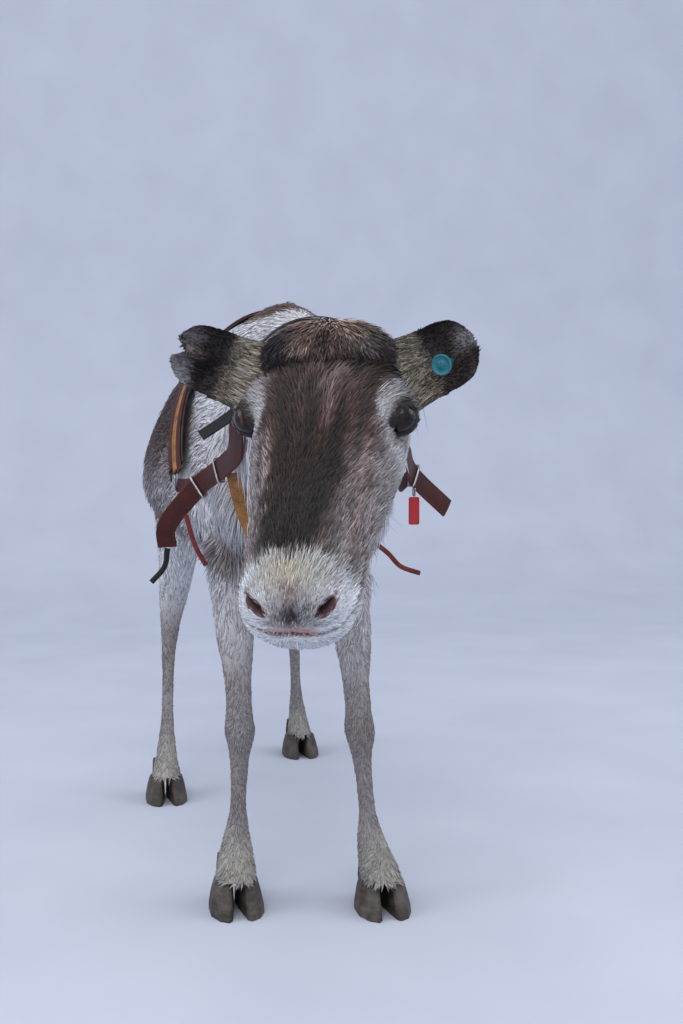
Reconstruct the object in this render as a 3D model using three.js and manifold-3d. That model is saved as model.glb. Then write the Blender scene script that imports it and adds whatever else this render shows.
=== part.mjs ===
// A reindeer in its winter coat, life size and without antlers, in a leather pulling harness.
// It stands with its neck held level and its head lowered and turned a little to its right.
// Millimetres, +Z up. The animal faces -Y and its left side is +X.
// The origin is on the floor under the middle of the whole model.

import * as THREE from 'three';
import { mergeVertices } from 'three/addons/utils/BufferGeometryUtils.js';
import Module from 'manifold-3d';

const wasm = await Module();
wasm.setup();

const { Vector3, Matrix4, Euler } = THREE;
const DEG = Math.PI / 180;
const X_AXIS = new Vector3(1, 0, 0);
const Y_AXIS = new Vector3(0, 1, 0);
const Z_AXIS = new Vector3(0, 0, 1);

// Clearance that touching pieces keep
const GAP = 0.3;

// Larger than the whole model
const SPAN = 4000;

// Torso: outline of the coat at stations from the chest back to the buttocks
const TORSO = [
  { y: -110, top: 760, bottom: 560, half: 60 },
  { y: -60, top: 838, bottom: 520, half: 108 },
  { y: 0, top: 890, bottom: 500, half: 138 },
  { y: 90, top: 925, bottom: 496, half: 164 },
  { y: 190, top: 944, bottom: 500, half: 187 },
  { y: 320, top: 938, bottom: 507, half: 208 },
  { y: 450, top: 935, bottom: 512, half: 222 },
  { y: 570, top: 939, bottom: 526, half: 213 },
  { y: 690, top: 945, bottom: 558, half: 195 },
  { y: 800, top: 942, bottom: 606, half: 170 },
  { y: 885, top: 905, bottom: 652, half: 130 },
  { y: 935, top: 840, bottom: 700, half: 70 },
];
// Share of the height at which the barrel is widest, and the roundness of its upper and lower half
const TORSO_WIDEST = 0.32;
const TORSO_SHAPE = { upper: 1.65, lower: 2.2 };
const TORSO_SIDES = 24;

// Neck: centre line and reach, from inside the chest forward to inside the back of the skull.
// The mane is how much further down its locks hang from the core that they grow on.
const NECK = [
  { x: 0, y: 30, z: 722, half: 125, up: 150, down: 165, mane: 0 },
  { x: -4, y: -60, z: 716, half: 122, up: 140, down: 176, mane: 22 },
  { x: -20, y: -170, z: 724, half: 110, up: 118, down: 172, mane: 42 },
  { x: -45, y: -300, z: 737, half: 96, up: 104, down: 156, mane: 46 },
  { x: -62, y: -440, z: 745, half: 84, up: 90, down: 128, mane: 36 },
  { x: -76, y: -570, z: 748, half: 73, up: 70, down: 96, mane: 14 },
  { x: -92, y: -640, z: 735, half: 52, up: 48, down: 56, mane: 0 },
];
// Throat mane: rows of locks along the neck, and the angles from straight down at which they grow
const MANE = {
  rows: 7,
  first: 1,
  last: 4.75,
  angles: [-82, -42, -4, 34, 74],
  stagger: 12,
  draws: { turn: 6, along: 10, inward: 0.06, back: 0.14, size: 0.08, width: 0.12 },
  seat: 0.97,
  fall: { inward: 0.32, back: 0.52 },
  full: { base: 0.5, mane: 0.34 / 46, drop: 0.3 },
  length: 128,
  width: 96,
  narrow: 0.9,
  thick: 30,
  sink: 2,
};
// Where the neck is parted from the torso, and how far the cut leans back going up
const NECK_PARTING = { y: -40, z: 705, lean: 15 * DEG };
const NECK_SHAPE = { upper: 2, lower: 1.9 };
const NECK_SIDES = 20;

// Head frame: origin midway between the eyes, turned to the animal's right and lowered
const HEAD_CENTRE = new Vector3(-110, -679, 704.5);
const HEAD_YAW = 22 * DEG;
const HEAD_PITCH = 43.2 * DEG;

// Head: stations by distance ahead of the eyes; heights are above and below the line of the eyes
const HEAD = [
  { ahead: -142, top: 2, bottom: -62, half: 46, level: -24, square: 2 },
  { ahead: -120, top: 14, bottom: -94, half: 62, level: -22, square: 2.1 },
  { ahead: -80, top: 27, bottom: -114, half: 71, level: -22, square: 2.3 },
  { ahead: -40, top: 39, bottom: -120, half: 77, level: -28, square: 2.4 },
  { ahead: 0, top: 45, bottom: -110, half: 75, level: -32, square: 2.4 },
  { ahead: 35, top: 42, bottom: -99, half: 70, level: -34, square: 2.2 },
  { ahead: 70, top: 36, bottom: -91, half: 64, level: -34, square: 2.1 },
  { ahead: 110, top: 30, bottom: -84, half: 57, level: -33, square: 2.1 },
  { ahead: 150, top: 24, bottom: -80, half: 52, level: -33, square: 2.2 },
  { ahead: 183, top: 17, bottom: -78, half: 51, level: -34, square: 2.3 },
  { ahead: 206, top: 8, bottom: -72, half: 48, level: -35, square: 2.4 },
  { ahead: 221, top: -5, bottom: -62, half: 38, level: -34, square: 2.3 },
  { ahead: 229, top: -18, bottom: -48, half: 22, level: -33, square: 2 },
];
const HEAD_SIDES = 20;

const EYE = { radius: 16, out: 70, up: 4 };
const LID = {
  radius: 14.5,
  thick: 4.2,
  out: 6,
  stretch: 1.2,
  squash: 0.84,
  forward: 30 * DEG,
  lift: 16 * DEG,
};
const BROW = { ahead: -14, out: 50, up: 14, size: new Vector3(25, 34, 19) };
const NOSTRIL = { ahead: 216, out: 27, up: -7, size: new Vector3(4.5, 12, 11), turn: 28 * DEG };
const NOSTRIL_WING = { ahead: 200, out: 27, up: -12, size: new Vector3(19, 24, 19) };
const MOUTH = { start: 120, up: -43, height: 2.4, depth: 5, droop: 6 * DEG };

// Ears: how far out the right and the left one stand, and stations from the root out to the blunt end
const EAR = {
  ahead: -80,
  out: [72, 53],
  up: -18,
  side: 0.8,
  rise: 0.5,
  forward: 0.06,
  stations: [
    { along: 0, wide: 40, thick: 28, shift: 0 },
    { along: 25, wide: 38, thick: 27, shift: 0 },
    { along: 48, wide: 34, thick: 24, shift: 0 },
    { along: 70, wide: 31, thick: 19, shift: -2 },
    { along: 86, wide: 26, thick: 13, shift: -4 },
    { along: 95, wide: 15, thick: 6, shift: -6 },
  ],
  cup: [
    { along: 42, wide: 15, thick: 12, shift: 20 },
    { along: 54, wide: 27, thick: 20, shift: 16 },
    { along: 70, wide: 27, thick: 17, shift: 11 },
    { along: 84, wide: 22, thick: 12, shift: 6 },
    { along: 92, wide: 12, thick: 7, shift: 3 },
  ],
};
const EAR_SIDES = 12;
// The owner's cut in the tip of the right ear, and the button tag in the left one
const EAR_NOTCH = { along: 68, radius: 8, offset: 2 };
const EAR_TAG = { along: 69, rise: 24, low: 7, radius: 10, thick: 3, stud: 3 };

// Poll crest: a thick roll of hair between the ears that ends over the forehead
const CREST = { ahead: -84, out: -12, up: 8, size: new Vector3(66, 46, 40), core: 0.82 };
const CREST_LOCKS = [
  { ahead: -108, count: 4, spread: 36, length: 58, drop: 0.1 },
  { ahead: -88, count: 5, spread: 50, length: 54, drop: -0.12 },
  { ahead: -66, count: 6, spread: 56, length: 40, drop: -0.4 },
];
// A lock of hair: its rings from root to tip, its rise off the skin and its reach along its fall
const LOCK_FORM = { shares: [0, 0.36, 0.72, 1], fullness: [0.8, 1, 0.68, 0.1], rise: 0.14, reach: 0.85 };
const CREST_LOCK = {
  draws: { side: 3, ahead: 4, fall: 0.14, size: 0.08 },
  lean: 0.5,
  edgeDrop: 0.25,
  edgeShort: 0.22,
  flattest: 0.02,
  width: 32,
  thick: 15,
  sink: 3,
};

// Legs: centre line and reach at heights above the floor, from inside the body down to the coronet
const CORONET = 48;
const FORELEG = [
  { z: 640, x: 92, y: 85, half: 52, front: 78, back: 78 },
  { z: 560, x: 100, y: 66, half: 46, front: 66, back: 66 },
  { z: 500, x: 106, y: 48, half: 38, front: 50, back: 52 },
  { z: 450, x: 104, y: 36, half: 34, front: 40, back: 44 },
  { z: 405, x: 102, y: 28, half: 31, front: 34, back: 38 },
  { z: 345, x: 99, y: 20, half: 22.5, front: 27, back: 28 },
  { z: 305, x: 98, y: 16, half: 21, front: 24, back: 24 },
  { z: 266, x: 97, y: 14, half: 24.5, front: 26, back: 25 },
  { z: 232, x: 97, y: 16, half: 18, front: 20, back: 22 },
  { z: 190, x: 98, y: 18, half: 14, front: 15, back: 19 },
  { z: 140, x: 99, y: 20, half: 14.5, front: 15, back: 20 },
  { z: 103, x: 101, y: 21, half: 22, front: 22, back: 27 },
  { z: 72, x: 104, y: 8, half: 28, front: 30, back: 32 },
  { z: CORONET, x: 106, y: -2, half: 32, front: 42, back: 36 },
];
const HINDLEG = [
  { z: 790, x: 100, y: 60, half: 62, front: 110, back: 95 },
  { z: 700, x: 112, y: 32, half: 72, front: 120, back: 100 },
  { z: 620, x: 122, y: -8, half: 64, front: 100, back: 98 },
  { z: 550, x: 130, y: -24, half: 52, front: 72, back: 84 },
  { z: 480, x: 137, y: 6, half: 42, front: 52, back: 62 },
  { z: 410, x: 142, y: 44, half: 34, front: 38, back: 42 },
  { z: 365, x: 146, y: 68, half: 26, front: 32, back: 36 },
  { z: 325, x: 149, y: 78, half: 20, front: 30, back: 32 },
  { z: 285, x: 152, y: 74, half: 16, front: 24, back: 26 },
  { z: 230, x: 155, y: 62, half: 13.5, front: 18, back: 19 },
  { z: 160, x: 158, y: 46, half: 13.5, front: 17, back: 18 },
  { z: 108, x: 161, y: 34, half: 19, front: 21, back: 26 },
  { z: 74, x: 163, y: 20, half: 24, front: 28, back: 30 },
  { z: CORONET, x: 165, y: 8, half: 29, front: 38, back: 34 },
];
const LEG_SHAPE = 2.1;
const LEG_SIDES = 12;
const CLAW_SIDES = 12;
const FORE_CUTS = [250, 488];

// Where each foot stands, how far the top of the leg leans from there, and the heights of its two partings
const LEGS = [
  { name: 'foreleg_right', side: -1, form: FORELEG, foot: [-106, 10], lean: [0, 0], cuts: FORE_CUTS },
  { name: 'foreleg_left', side: 1, form: FORELEG, foot: [108, -36], lean: [-50, 20], cuts: FORE_CUTS },
  { name: 'hindleg_right', side: -1, form: HINDLEG, foot: [-165, 640], lean: [0, 70], cuts: [300, 530] },
  { name: 'hindleg_left', side: 1, form: HINDLEG, foot: [166, 960], lean: [0, -190], cuts: [300, 575] },
];

// Hooves: one claw, from the sole up to the coronet, and the small dew claws behind
const CLAW = [
  { z: 0, inner: 13, outer: 25, front: 60, back: 40, shift: 0 },
  { z: 12, inner: 13, outer: 25, front: 56, back: 41, shift: 2 },
  { z: 30, inner: 12, outer: 22, front: 44, back: 39, shift: 4 },
  { z: CORONET - GAP, inner: 11, outer: 17, front: 32, back: 34, shift: 4 },
];
const CLAW_SPREAD = { out: 16, splay: 9 * DEG, curl: 9 };
const DEW_CLAW = { out: 13, back: 50, top: 76, bottom: 18, radius: 11 };

// Tail, and the locks that hang round it down to its tip
const TAIL = [
  { z: 890, y: 880, half: 24, deep: 24 },
  { z: 850, y: 915, half: 28, deep: 22 },
  { z: 805, y: 938, half: 28, deep: 20 },
  { z: 765, y: 944, half: 20, deep: 15 },
  { z: 745, y: 946, half: 10, deep: 8 },
];
const TAIL_LOCKS = {
  rows: [
    { y: 924, z: 832 },
    { y: 942, z: 786 },
  ],
  count: 3,
  turnDraw: 0.15,
  heightDraw: 6,
  flat: 0.7,
  reach: 17,
  fall: { out: 0.14, back: 0.1 },
  length: 76,
  width: 40,
  thick: 12,
  sink: 6,
};

// Harness: places are points on the middle line of each strap
const COLLAR = {
  width: 29,
  thick: 5,
  middle: 716,
  veer: 0.15,
  flared: 640,
  upright: 780,
  steps: 44,
  path: [
    [213, -26, 602],
    [152, -62, 650],
    [120, -140, 678],
    [90, -215, 702],
    [65, -280, 735],
    [46, -315, 778],
    [10, -325, 824],
    [-50, -328, 848],
    [-112, -322, 812],
    [-141, -312, 752],
    [-141, -290, 712],
    [-138, -245, 682],
    [-143, -190, 668],
    [-152, -130, 655],
    [-168, -70, 636],
    [-210, -28, 576],
    [-208, -24, 549],
  ],
};
const KEEPERS = { width: 8, rim: 3, shares: [0.085, 0.81, 0.89] };
// The throat loop hangs under the neck; its ends lie behind the collar, some sides below its widest place
const THROAT_LOOP = {
  centre: new Vector3(-24, -190, 727),
  reach: { left: 114, right: 114, up: 120, down: 222, upper: 2, lower: 1.9 },
  lean: 0.16,
  sides: 36,
  skip: 2,
  turn: 1.1,
  width: 24,
  thick: 4,
};
const NECK_STRAP = {
  y: -362,
  width: 20,
  endWidth: 16,
  thick: 3,
  end: [
    [-146, -362, 733],
    [-166, -362, 718],
    [-193, -360, 700],
  ],
};
const SADDLE = {
  y: 150,
  z: 655,
  lean: 34.7 * DEG,
  pad: 62,
  padThick: 3,
  strip: 15,
  stripThick: 2.5,
  pitch: 17.5,
};
const BUCKLE = { wide: 34, high: 26, bar: 4, thick: 4, y: 136, z: 640, out: 183 };
const TAG = { wide: 16, high: 42, thick: 3, x: 150, y: -66, z: 600, link: 5, wire: 1.6 };
const SIDE_STRAP = {
  width: 22,
  thick: 4,
  path: [
    [180, 128, 636],
    [170, 82, 636],
    [158, 30, 639],
  ],
  fronts: {
    left: [
      [152, -14, 645],
      [149, -46, 650],
    ],
    right: [
      [159, -20, 640],
      [165, -58, 638],
    ],
  },
};
const COLLAR_END = { width: 8, thick: 3, path: [[-208, -24, 547], [-212, -24, 521], [-231, -22, 498]] };
const CHEST_THONG = { width: 7, thick: 3, path: [[-184, -56, 596], [-171, -58, 552], [-156, -58, 524]] };
const LOOSE_THONG = {
  width: 7,
  thick: 3,
  path: [
    [50, -168, 564],
    [74, -140, 556],
    [99, -116, 540],
    [118, -108, 522],
    [148, -104, 511],
  ],
};

const coat = (color) => new THREE.MeshStandardMaterial({ color, roughness: 0.95, metalness: 0 });
const leather = (color) => new THREE.MeshStandardMaterial({ color, roughness: 0.55, metalness: 0 });
const COAT_BODY = coat(0xa09c9c);
const COAT_NECK = coat(0xb4b4b8);
const COAT_HEAD = coat(0x6a6062);
const COAT_EAR = coat(0x6c6462);
const COAT_LEG = coat(0x8c8682);
const HORN = new THREE.MeshStandardMaterial({ color: 0x2e2824, roughness: 0.6, metalness: 0 });
const EYE_DARK = new THREE.MeshStandardMaterial({ color: 0x100c0c, roughness: 0.08, metalness: 0 });
const LEATHER_RED = leather(0x5a1a14);
const LEATHER_OCHRE = leather(0xa06c34);
const LEATHER_BLACK = leather(0x14161a);
const STEEL = new THREE.MeshStandardMaterial({ color: 0xb4b4b8, roughness: 0.3, metalness: 1 });
const TAG_RED = new THREE.MeshStandardMaterial({ color: 0x960816, roughness: 0.4, metalness: 0 });
const TAG_TEAL = new THREE.MeshStandardMaterial({ color: 0x1c5f6c, roughness: 0.4, metalness: 0 });

// Smooth stations: every named value of the list is carried along one curve
function refine(stations, steps) {
  const keys = Object.keys(stations[0]);
  const places = stations.map((_, index) => index);
  const values = stations.flatMap((station) => keys.map((key) => station[key]));
  const curve = new THREE.CubicInterpolant(places, values, keys.length);
  const result = [];
  for (let step = 0; step <= (stations.length - 1) * steps; step++) {
    const row = curve.evaluate(step / steps);
    result.push(Object.fromEntries(keys.map((key, index) => [key, row[index]])));
  }
  return result;
}

// A closed, rounded outline with its own reach to each of four sides
function outline(centre, across, up, reach, sides, grow = 0) {
  const points = [];
  for (let side = 0; side < sides; side++) {
    const angle = (side / sides) * 2 * Math.PI;
    const cosine = Math.cos(angle);
    const sine = Math.sin(angle);
    const power = 2 / (sine > 0 ? reach.upper : reach.lower);
    const width = (cosine > 0 ? reach.left : reach.right) + grow;
    const height = (sine > 0 ? reach.up : reach.down) + grow;
    const point = centre.clone();
    point.addScaledVector(across, width * Math.sign(cosine) * Math.abs(cosine) ** power);
    point.addScaledVector(up, height * Math.sign(sine) * Math.abs(sine) ** power);
    points.push(point);
  }
  return points;
}

function middle(points) {
  const sum = new Vector3();
  points.forEach((point) => sum.add(point));
  return sum.divideScalar(points.length);
}

// A closed skin over a row of outlines; growing it also carries both ends outward
function loft(rings, grow = 0) {
  const sides = rings[0].length;
  const count = rings.length;
  const ends = [0, count - 1];
  const centres = ends.map((end) => middle(rings[end]));
  const inward = [middle(rings[1]), middle(rings[count - 2])];
  const moves = centres.map((centre, end) => centre.clone().sub(inward[end]).setLength(grow));
  const positions = [];
  rings.forEach((ring, index) => {
    const end = ends.indexOf(index);
    ring.forEach((point) => {
      const place = end < 0 ? point : point.clone().add(moves[end]);
      positions.push(place.x, place.y, place.z);
    });
  });
  centres.forEach((centre, end) => {
    centre.add(moves[end]);
    positions.push(centre.x, centre.y, centre.z);
  });
  const faces = [];
  for (let side = 0; side < sides; side++) {
    const next = (side + 1) % sides;
    for (let ring = 0; ring + 1 < count; ring++) {
      const low = ring * sides;
      const high = low + sides;
      faces.push(low + side, low + next, high + next);
      faces.push(low + side, high + next, high + side);
    }
    const last = (count - 1) * sides;
    faces.push(count * sides, next, side);
    faces.push(count * sides + 1, last + side, last + next);
  }
  const geometry = new THREE.BufferGeometry();
  geometry.setAttribute('position', new THREE.Float32BufferAttribute(positions, 3));
  geometry.setIndex(faces);
  return geometry;
}

// A solid from a closed geometry, turned outward if its faces point in
function solid(geometry) {
  const bare = geometry.clone();
  bare.deleteAttribute('normal');
  bare.deleteAttribute('uv');
  const merged = mergeVertices(bare, 1e-4);
  const place = merged.attributes.position;
  const faces = Array.from(merged.index.array);
  const corner = [new Vector3(), new Vector3(), new Vector3()];
  let volume = 0;
  for (let face = 0; face < faces.length; face += 3) {
    corner.forEach((point, index) => point.fromBufferAttribute(place, faces[face + index]));
    volume += corner[0].dot(corner[1].clone().cross(corner[2]));
  }
  if (volume < 0) {
    faces.reverse();
  }
  const mesh = new wasm.Mesh({
    numProp: 3,
    vertProperties: new Float32Array(place.array),
    triVerts: new Uint32Array(faces),
  });
  return new wasm.Manifold(mesh);
}

function join(solids) {
  return solids.reduce((sum, part) => sum.add(part));
}

// One node of the model: the largest closed body of a solid
function node(name, shape, material) {
  const bodies = shape.decompose();
  bodies.sort((first, second) => second.volume() - first.volume());
  const mesh = bodies[0].getMesh();
  const geometry = new THREE.BufferGeometry();
  geometry.setAttribute('position', new THREE.Float32BufferAttribute(mesh.vertProperties, 3));
  geometry.setIndex(Array.from(mesh.triVerts));
  geometry.computeVertexNormals();
  const result = new THREE.Mesh(geometry, material);
  result.name = name;
  return result;
}

// An ellipsoid that is placed and turned
function ellipsoid(centre, size, turn = new Euler(), columns = 12, rows = 8) {
  const geometry = new THREE.SphereGeometry(1, columns, rows);
  geometry.scale(size.x, size.y, size.z);
  geometry.applyMatrix4(new Matrix4().makeRotationFromEuler(turn));
  geometry.translate(centre.x, centre.y, centre.z);
  return geometry;
}

// Seeded draws between -1 and 1, so that every build gives the same coat
function drawer(seed) {
  let state = seed;
  return () => {
    state = (state + 0x6d2b79f5) | 0;
    let mixed = Math.imul(state ^ (state >>> 15), 1 | state);
    mixed = (mixed + Math.imul(mixed ^ (mixed >>> 7), 61 | mixed)) ^ mixed;
    return ((mixed ^ (mixed >>> 14)) >>> 0) / 2147483648 - 1;
  };
}

// A flat, tapered lock of hair: it leaves its root outward, bends into its fall and ends in a fine tip
function lock(root, out, fall, size) {
  const { shares, fullness, rise, reach } = LOCK_FORM;
  const across = out.clone().cross(fall).normalize();
  const start = root.clone().addScaledVector(out, -size.sink);
  const bend = root.clone().addScaledVector(out, size.length * rise);
  const tip = bend.clone().addScaledVector(fall, size.length * reach);
  const path = new THREE.QuadraticBezierCurve3(start, bend, tip);
  const rings = shares.map((share, index) => {
    const centre = path.getPoint(share);
    const face = path.getTangent(share).cross(across).normalize();
    const wide = (size.width / 2) * fullness[index];
    const deep = (size.thick / 2) * fullness[index];
    return [[wide, 0], [0, deep], [-wide, 0], [0, -deep]].map(([side, front]) => {
      return centre.clone().addScaledVector(across, side).addScaledVector(face, front);
    });
  });
  return solid(loft(rings));
}

// Torso
function torsoForm(grow = 0) {
  const rings = refine(TORSO, 1).map((station) => {
    const level = station.bottom + (station.top - station.bottom) * TORSO_WIDEST;
    const reach = {
      left: station.half,
      right: station.half,
      up: station.top - level,
      down: level - station.bottom,
      ...TORSO_SHAPE,
    };
    return outline(new Vector3(0, station.y, level), X_AXIS, Z_AXIS, reach, TORSO_SIDES, grow);
  });
  return solid(loft(rings, grow));
}

// Neck
function neckRing(index, mane, grow = 0) {
  const stations = refine(NECK, 1);
  const places = stations.map((station) => new Vector3(station.x, station.y, station.z));
  const before = places[Math.max(index - 1, 0)];
  const after = places[Math.min(index + 1, places.length - 1)];
  const along = after.clone().sub(before).normalize();
  const across = Z_AXIS.clone().cross(along).normalize();
  const up = along.clone().cross(across);
  const station = stations[index];
  const reach = {
    left: station.half,
    right: station.half,
    up: station.up,
    down: station.down + mane * station.mane,
    ...NECK_SHAPE,
  };
  return outline(places[index], across, up, reach, NECK_SIDES, grow);
}

// The whole neck out to the tips of its mane, or its core alone
function neckForm(grow = 0, mane = 1) {
  return solid(loft(NECK.map((_, index) => neckRing(index, mane, grow)), grow));
}

function maneLocks() {
  const draw = drawer(11);
  const locks = [];
  for (let row = 0; row < MANE.rows; row++) {
    const place = MANE.first + ((MANE.last - MANE.first) * row) / (MANE.rows - 1);
    const station = refine(NECK, 8)[Math.round(place * 8)];
    for (const angle of MANE.angles) {
      const turn = (angle + MANE.draws.turn * draw() + (row % 2) * MANE.stagger) * DEG;
      const centre = new Vector3(station.x, station.y + MANE.draws.along * draw(), station.z);
      const side = Math.sin(turn);
      const drop = Math.cos(turn);
      const seat = new Vector3(side * station.half, 0, -drop * station.down).multiplyScalar(MANE.seat);
      const out = new Vector3(side / station.half, 0, -drop / station.down).normalize();
      const inward = MANE.draws.inward * draw() - MANE.fall.inward * side * Math.abs(side);
      const fall = new Vector3(inward, MANE.fall.back + MANE.draws.back * draw(), -1).normalize();
      const fullness = (MANE.full.base + MANE.full.mane * station.mane) * (1 - MANE.full.drop * drop);
      const length = MANE.length * fullness * (1 + MANE.draws.size * draw());
      const width = MANE.width * (MANE.narrow + MANE.draws.width * draw());
      locks.push(lock(centre.add(seat), out, fall, { ...MANE, length, width }));
    }
  }
  return join(locks);
}

// Head, in its own frame: -Y toward the nose, +X to the animal's left, +Z out of the forehead
const headFrame = new Matrix4().compose(
  HEAD_CENTRE,
  new THREE.Quaternion().setFromEuler(new Euler(HEAD_PITCH, 0, -HEAD_YAW, 'ZXY')),
  new Vector3(1, 1, 1),
);

function headForm(grow = 0) {
  const rings = refine(HEAD, 1).map((station) => {
    const reach = {
      left: station.half,
      right: station.half,
      up: station.top - station.level,
      down: station.level - station.bottom,
      upper: station.square,
      lower: 2.05,
    };
    const centre = new Vector3(0, -station.ahead, station.level);
    return outline(centre, X_AXIS, Z_AXIS, reach, HEAD_SIDES, grow);
  });
  return solid(loft(rings, grow));
}

function headFeature(feature, side) {
  return new Vector3(side * feature.out, -(feature.ahead ?? 0), feature.up);
}

function eyeball(side, grow = 0) {
  const size = new Vector3(1, 1, 1).setScalar(EYE.radius + grow);
  return solid(ellipsoid(headFeature(EYE, side), size, new Euler(), 12, 8));
}

// The lids: a rounded rim round the opening of the eye, facing outward and a little forward
function lids(side) {
  const rim = new THREE.TorusGeometry(LID.radius, LID.thick, 5, 16);
  rim.scale(LID.stretch, LID.squash, 1);
  rim.rotateX(Math.PI / 2 - LID.lift);
  rim.rotateZ(side * (Math.PI / 2 - LID.forward));
  const facing = new Vector3(side * Math.cos(LID.forward), -Math.sin(LID.forward), Math.sin(LID.lift));
  const centre = headFeature(EYE, side).addScaledVector(facing.normalize(), LID.out);
  rim.translate(centre.x, centre.y, centre.z);
  return solid(rim);
}

function nostril(side) {
  const turn = new Euler(0, side * NOSTRIL.turn, side * -35 * DEG);
  return solid(ellipsoid(headFeature(NOSTRIL, side), NOSTRIL.size, turn, 12, 8));
}

// The line of the mouth: a shallow groove round the muzzle
function mouthLine() {
  const length = 2 * (HEAD.at(-1).ahead - MOUTH.start);
  const blade = new THREE.BoxGeometry(160, length, MOUTH.height);
  blade.translate(0, length / 2, 0);
  blade.rotateX(MOUTH.droop);
  blade.translate(0, -MOUTH.start - length, MOUTH.up);
  return solid(blade).subtract(headForm(-MOUTH.depth));
}

function headSolid() {
  const parts = [headForm()];
  for (const side of [-1, 1]) {
    parts.push(solid(ellipsoid(headFeature(BROW, side), BROW.size)));
    parts.push(solid(ellipsoid(headFeature(NOSTRIL_WING, side), NOSTRIL_WING.size)));
    parts.push(lids(side));
  }
  parts.push(crestForm(CREST.core), crestLocks());
  let head = join(parts);
  for (const side of [-1, 1]) {
    head = head.subtract(eyeball(side, GAP));
    head = head.subtract(nostril(side));
  }
  return head.subtract(mouthLine());
}

// Poll crest: a core that carries rows of locks, which lie forward over it and fan out to both sides
function crestForm(share, grow = 0) {
  const size = CREST.size.clone().multiplyScalar(share).addScalar(grow);
  return solid(ellipsoid(headFeature(CREST, 1), size, new Euler(), 12, 8));
}

function crestLocks() {
  const { draws } = CREST_LOCK;
  const draw = drawer(5);
  const locks = [];
  for (const row of CREST_LOCKS) {
    for (let index = 0; index < row.count; index++) {
      const side = (2 * index) / (row.count - 1) - 1;
      const x = side * row.spread + draws.side * draw();
      const y = -row.ahead + draws.ahead * draw();
      const offset = (x / CREST.size.x) ** 2 + ((y + CREST.ahead) / CREST.size.y) ** 2;
      const high = Math.sqrt(Math.max(1 - offset, CREST_LOCK.flattest));
      const z = CREST.up + CREST.size.z * CREST.core * high;
      const out = new Vector3(side * CREST_LOCK.lean, -0.1, 1).normalize();
      const drop = row.drop - CREST_LOCK.edgeDrop * Math.abs(side);
      const fall = new Vector3(side * CREST_LOCK.lean + draws.fall * draw(), -1, drop).normalize();
      const fullness = (1 - CREST_LOCK.edgeShort * Math.abs(side)) * (1 + draws.size * draw());
      const size = { ...CREST_LOCK, length: row.length * fullness };
      locks.push(lock(new Vector3(x + CREST.out, y, z), out, fall, size));
    }
  }
  return join(locks);
}

// Ears: the axis runs outward and up, and the cup faces forward
function earFrame(side) {
  const axis = new Vector3(side * EAR.side, -EAR.forward, EAR.rise).normalize();
  const toward = new Vector3(side * -0.33, -0.83, 0.45);
  const facing = toward.addScaledVector(axis, -toward.dot(axis)).normalize();
  const width = axis.clone().cross(facing).normalize();
  const out = side > 0 ? EAR.out[1] : EAR.out[0];
  return { axis, facing, width, root: headFeature({ ...EAR, out }, side) };
}

function earLoft(stations, side, grow = 0) {
  const { axis, facing, width, root } = earFrame(side);
  const rings = refine(stations, 2).map((station) => {
    const centre = root.clone().addScaledVector(axis, station.along);
    centre.addScaledVector(facing, station.shift);
    const reach = {
      left: station.wide,
      right: station.wide,
      up: station.thick,
      down: station.thick,
      upper: 2,
      lower: 2,
    };
    return outline(centre, width, facing, reach, EAR_SIDES, grow);
  });
  return solid(loft(rings, grow));
}

function earSolid(side, clear) {
  const ear = earLoft(EAR.stations, side).subtract(earLoft(EAR.cup, side)).subtract(clear);
  if (side > 0) {
    return ear;
  }
  const { axis, facing, width, root } = earFrame(side);
  const rings = [0, 1].map((end) => {
    const centre = root.clone().addScaledVector(axis, EAR_NOTCH.along + EAR_NOTCH.radius + 60 * end);
    centre.addScaledVector(width, EAR_NOTCH.offset);
    const reach = EAR_NOTCH.radius * (1 + end);
    const size = { left: reach, right: reach, up: 60, down: 60, upper: 2, lower: 2 };
    return outline(centre, width, facing, size, 12);
  });
  return ear.subtract(solid(loft(rings)));
}

function earTag(side) {
  const { axis, facing, width, root } = earFrame(side);
  const disc = new THREE.CylinderGeometry(EAR_TAG.radius, EAR_TAG.radius, EAR_TAG.thick, 16);
  const stud = new THREE.CylinderGeometry(EAR_TAG.stud, EAR_TAG.stud, EAR_TAG.rise, 8);
  stud.translate(0, -EAR_TAG.rise / 2, 0);
  const centre = root.clone().addScaledVector(axis, EAR_TAG.along).addScaledVector(facing, EAR_TAG.rise);
  centre.addScaledVector(width, EAR_TAG.low);
  const turn = new THREE.Quaternion().setFromUnitVectors(Y_AXIS, facing);
  const pieces = [disc, stud].map((piece) => {
    piece.applyQuaternion(turn);
    piece.translate(centre.x, centre.y, centre.z);
    return solid(piece);
  });
  return join(pieces).subtract(earLoft(EAR.stations, side, GAP));
}

// Legs: the shared form is moved and leaned so that its foot stands on the leg's own mark
function legForm(leg, grow = 0) {
  const top = leg.form[0].z;
  const last = leg.form.at(-1);
  const rings = leg.form.map((station) => {
    const share = (station.z - CORONET) / (top - CORONET);
    const x = leg.foot[0] + leg.side * (station.x - last.x) + share * leg.lean[0];
    const y = leg.foot[1] + station.y - last.y + share * leg.lean[1];
    const reach = {
      left: station.half,
      right: station.half,
      up: station.back,
      down: station.front,
      upper: LEG_SHAPE,
      lower: LEG_SHAPE,
    };
    return outline(new Vector3(x, y, station.z), X_AXIS, Y_AXIS, reach, LEG_SIDES, grow);
  });
  return solid(loft(rings, grow));
}

// The space between two heights, short of both by half the clearance
function storey(low, high) {
  const slab = new THREE.BoxGeometry(SPAN, SPAN, high - low - GAP);
  slab.translate(0, 0, (low + high) / 2);
  return solid(slab);
}

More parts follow.
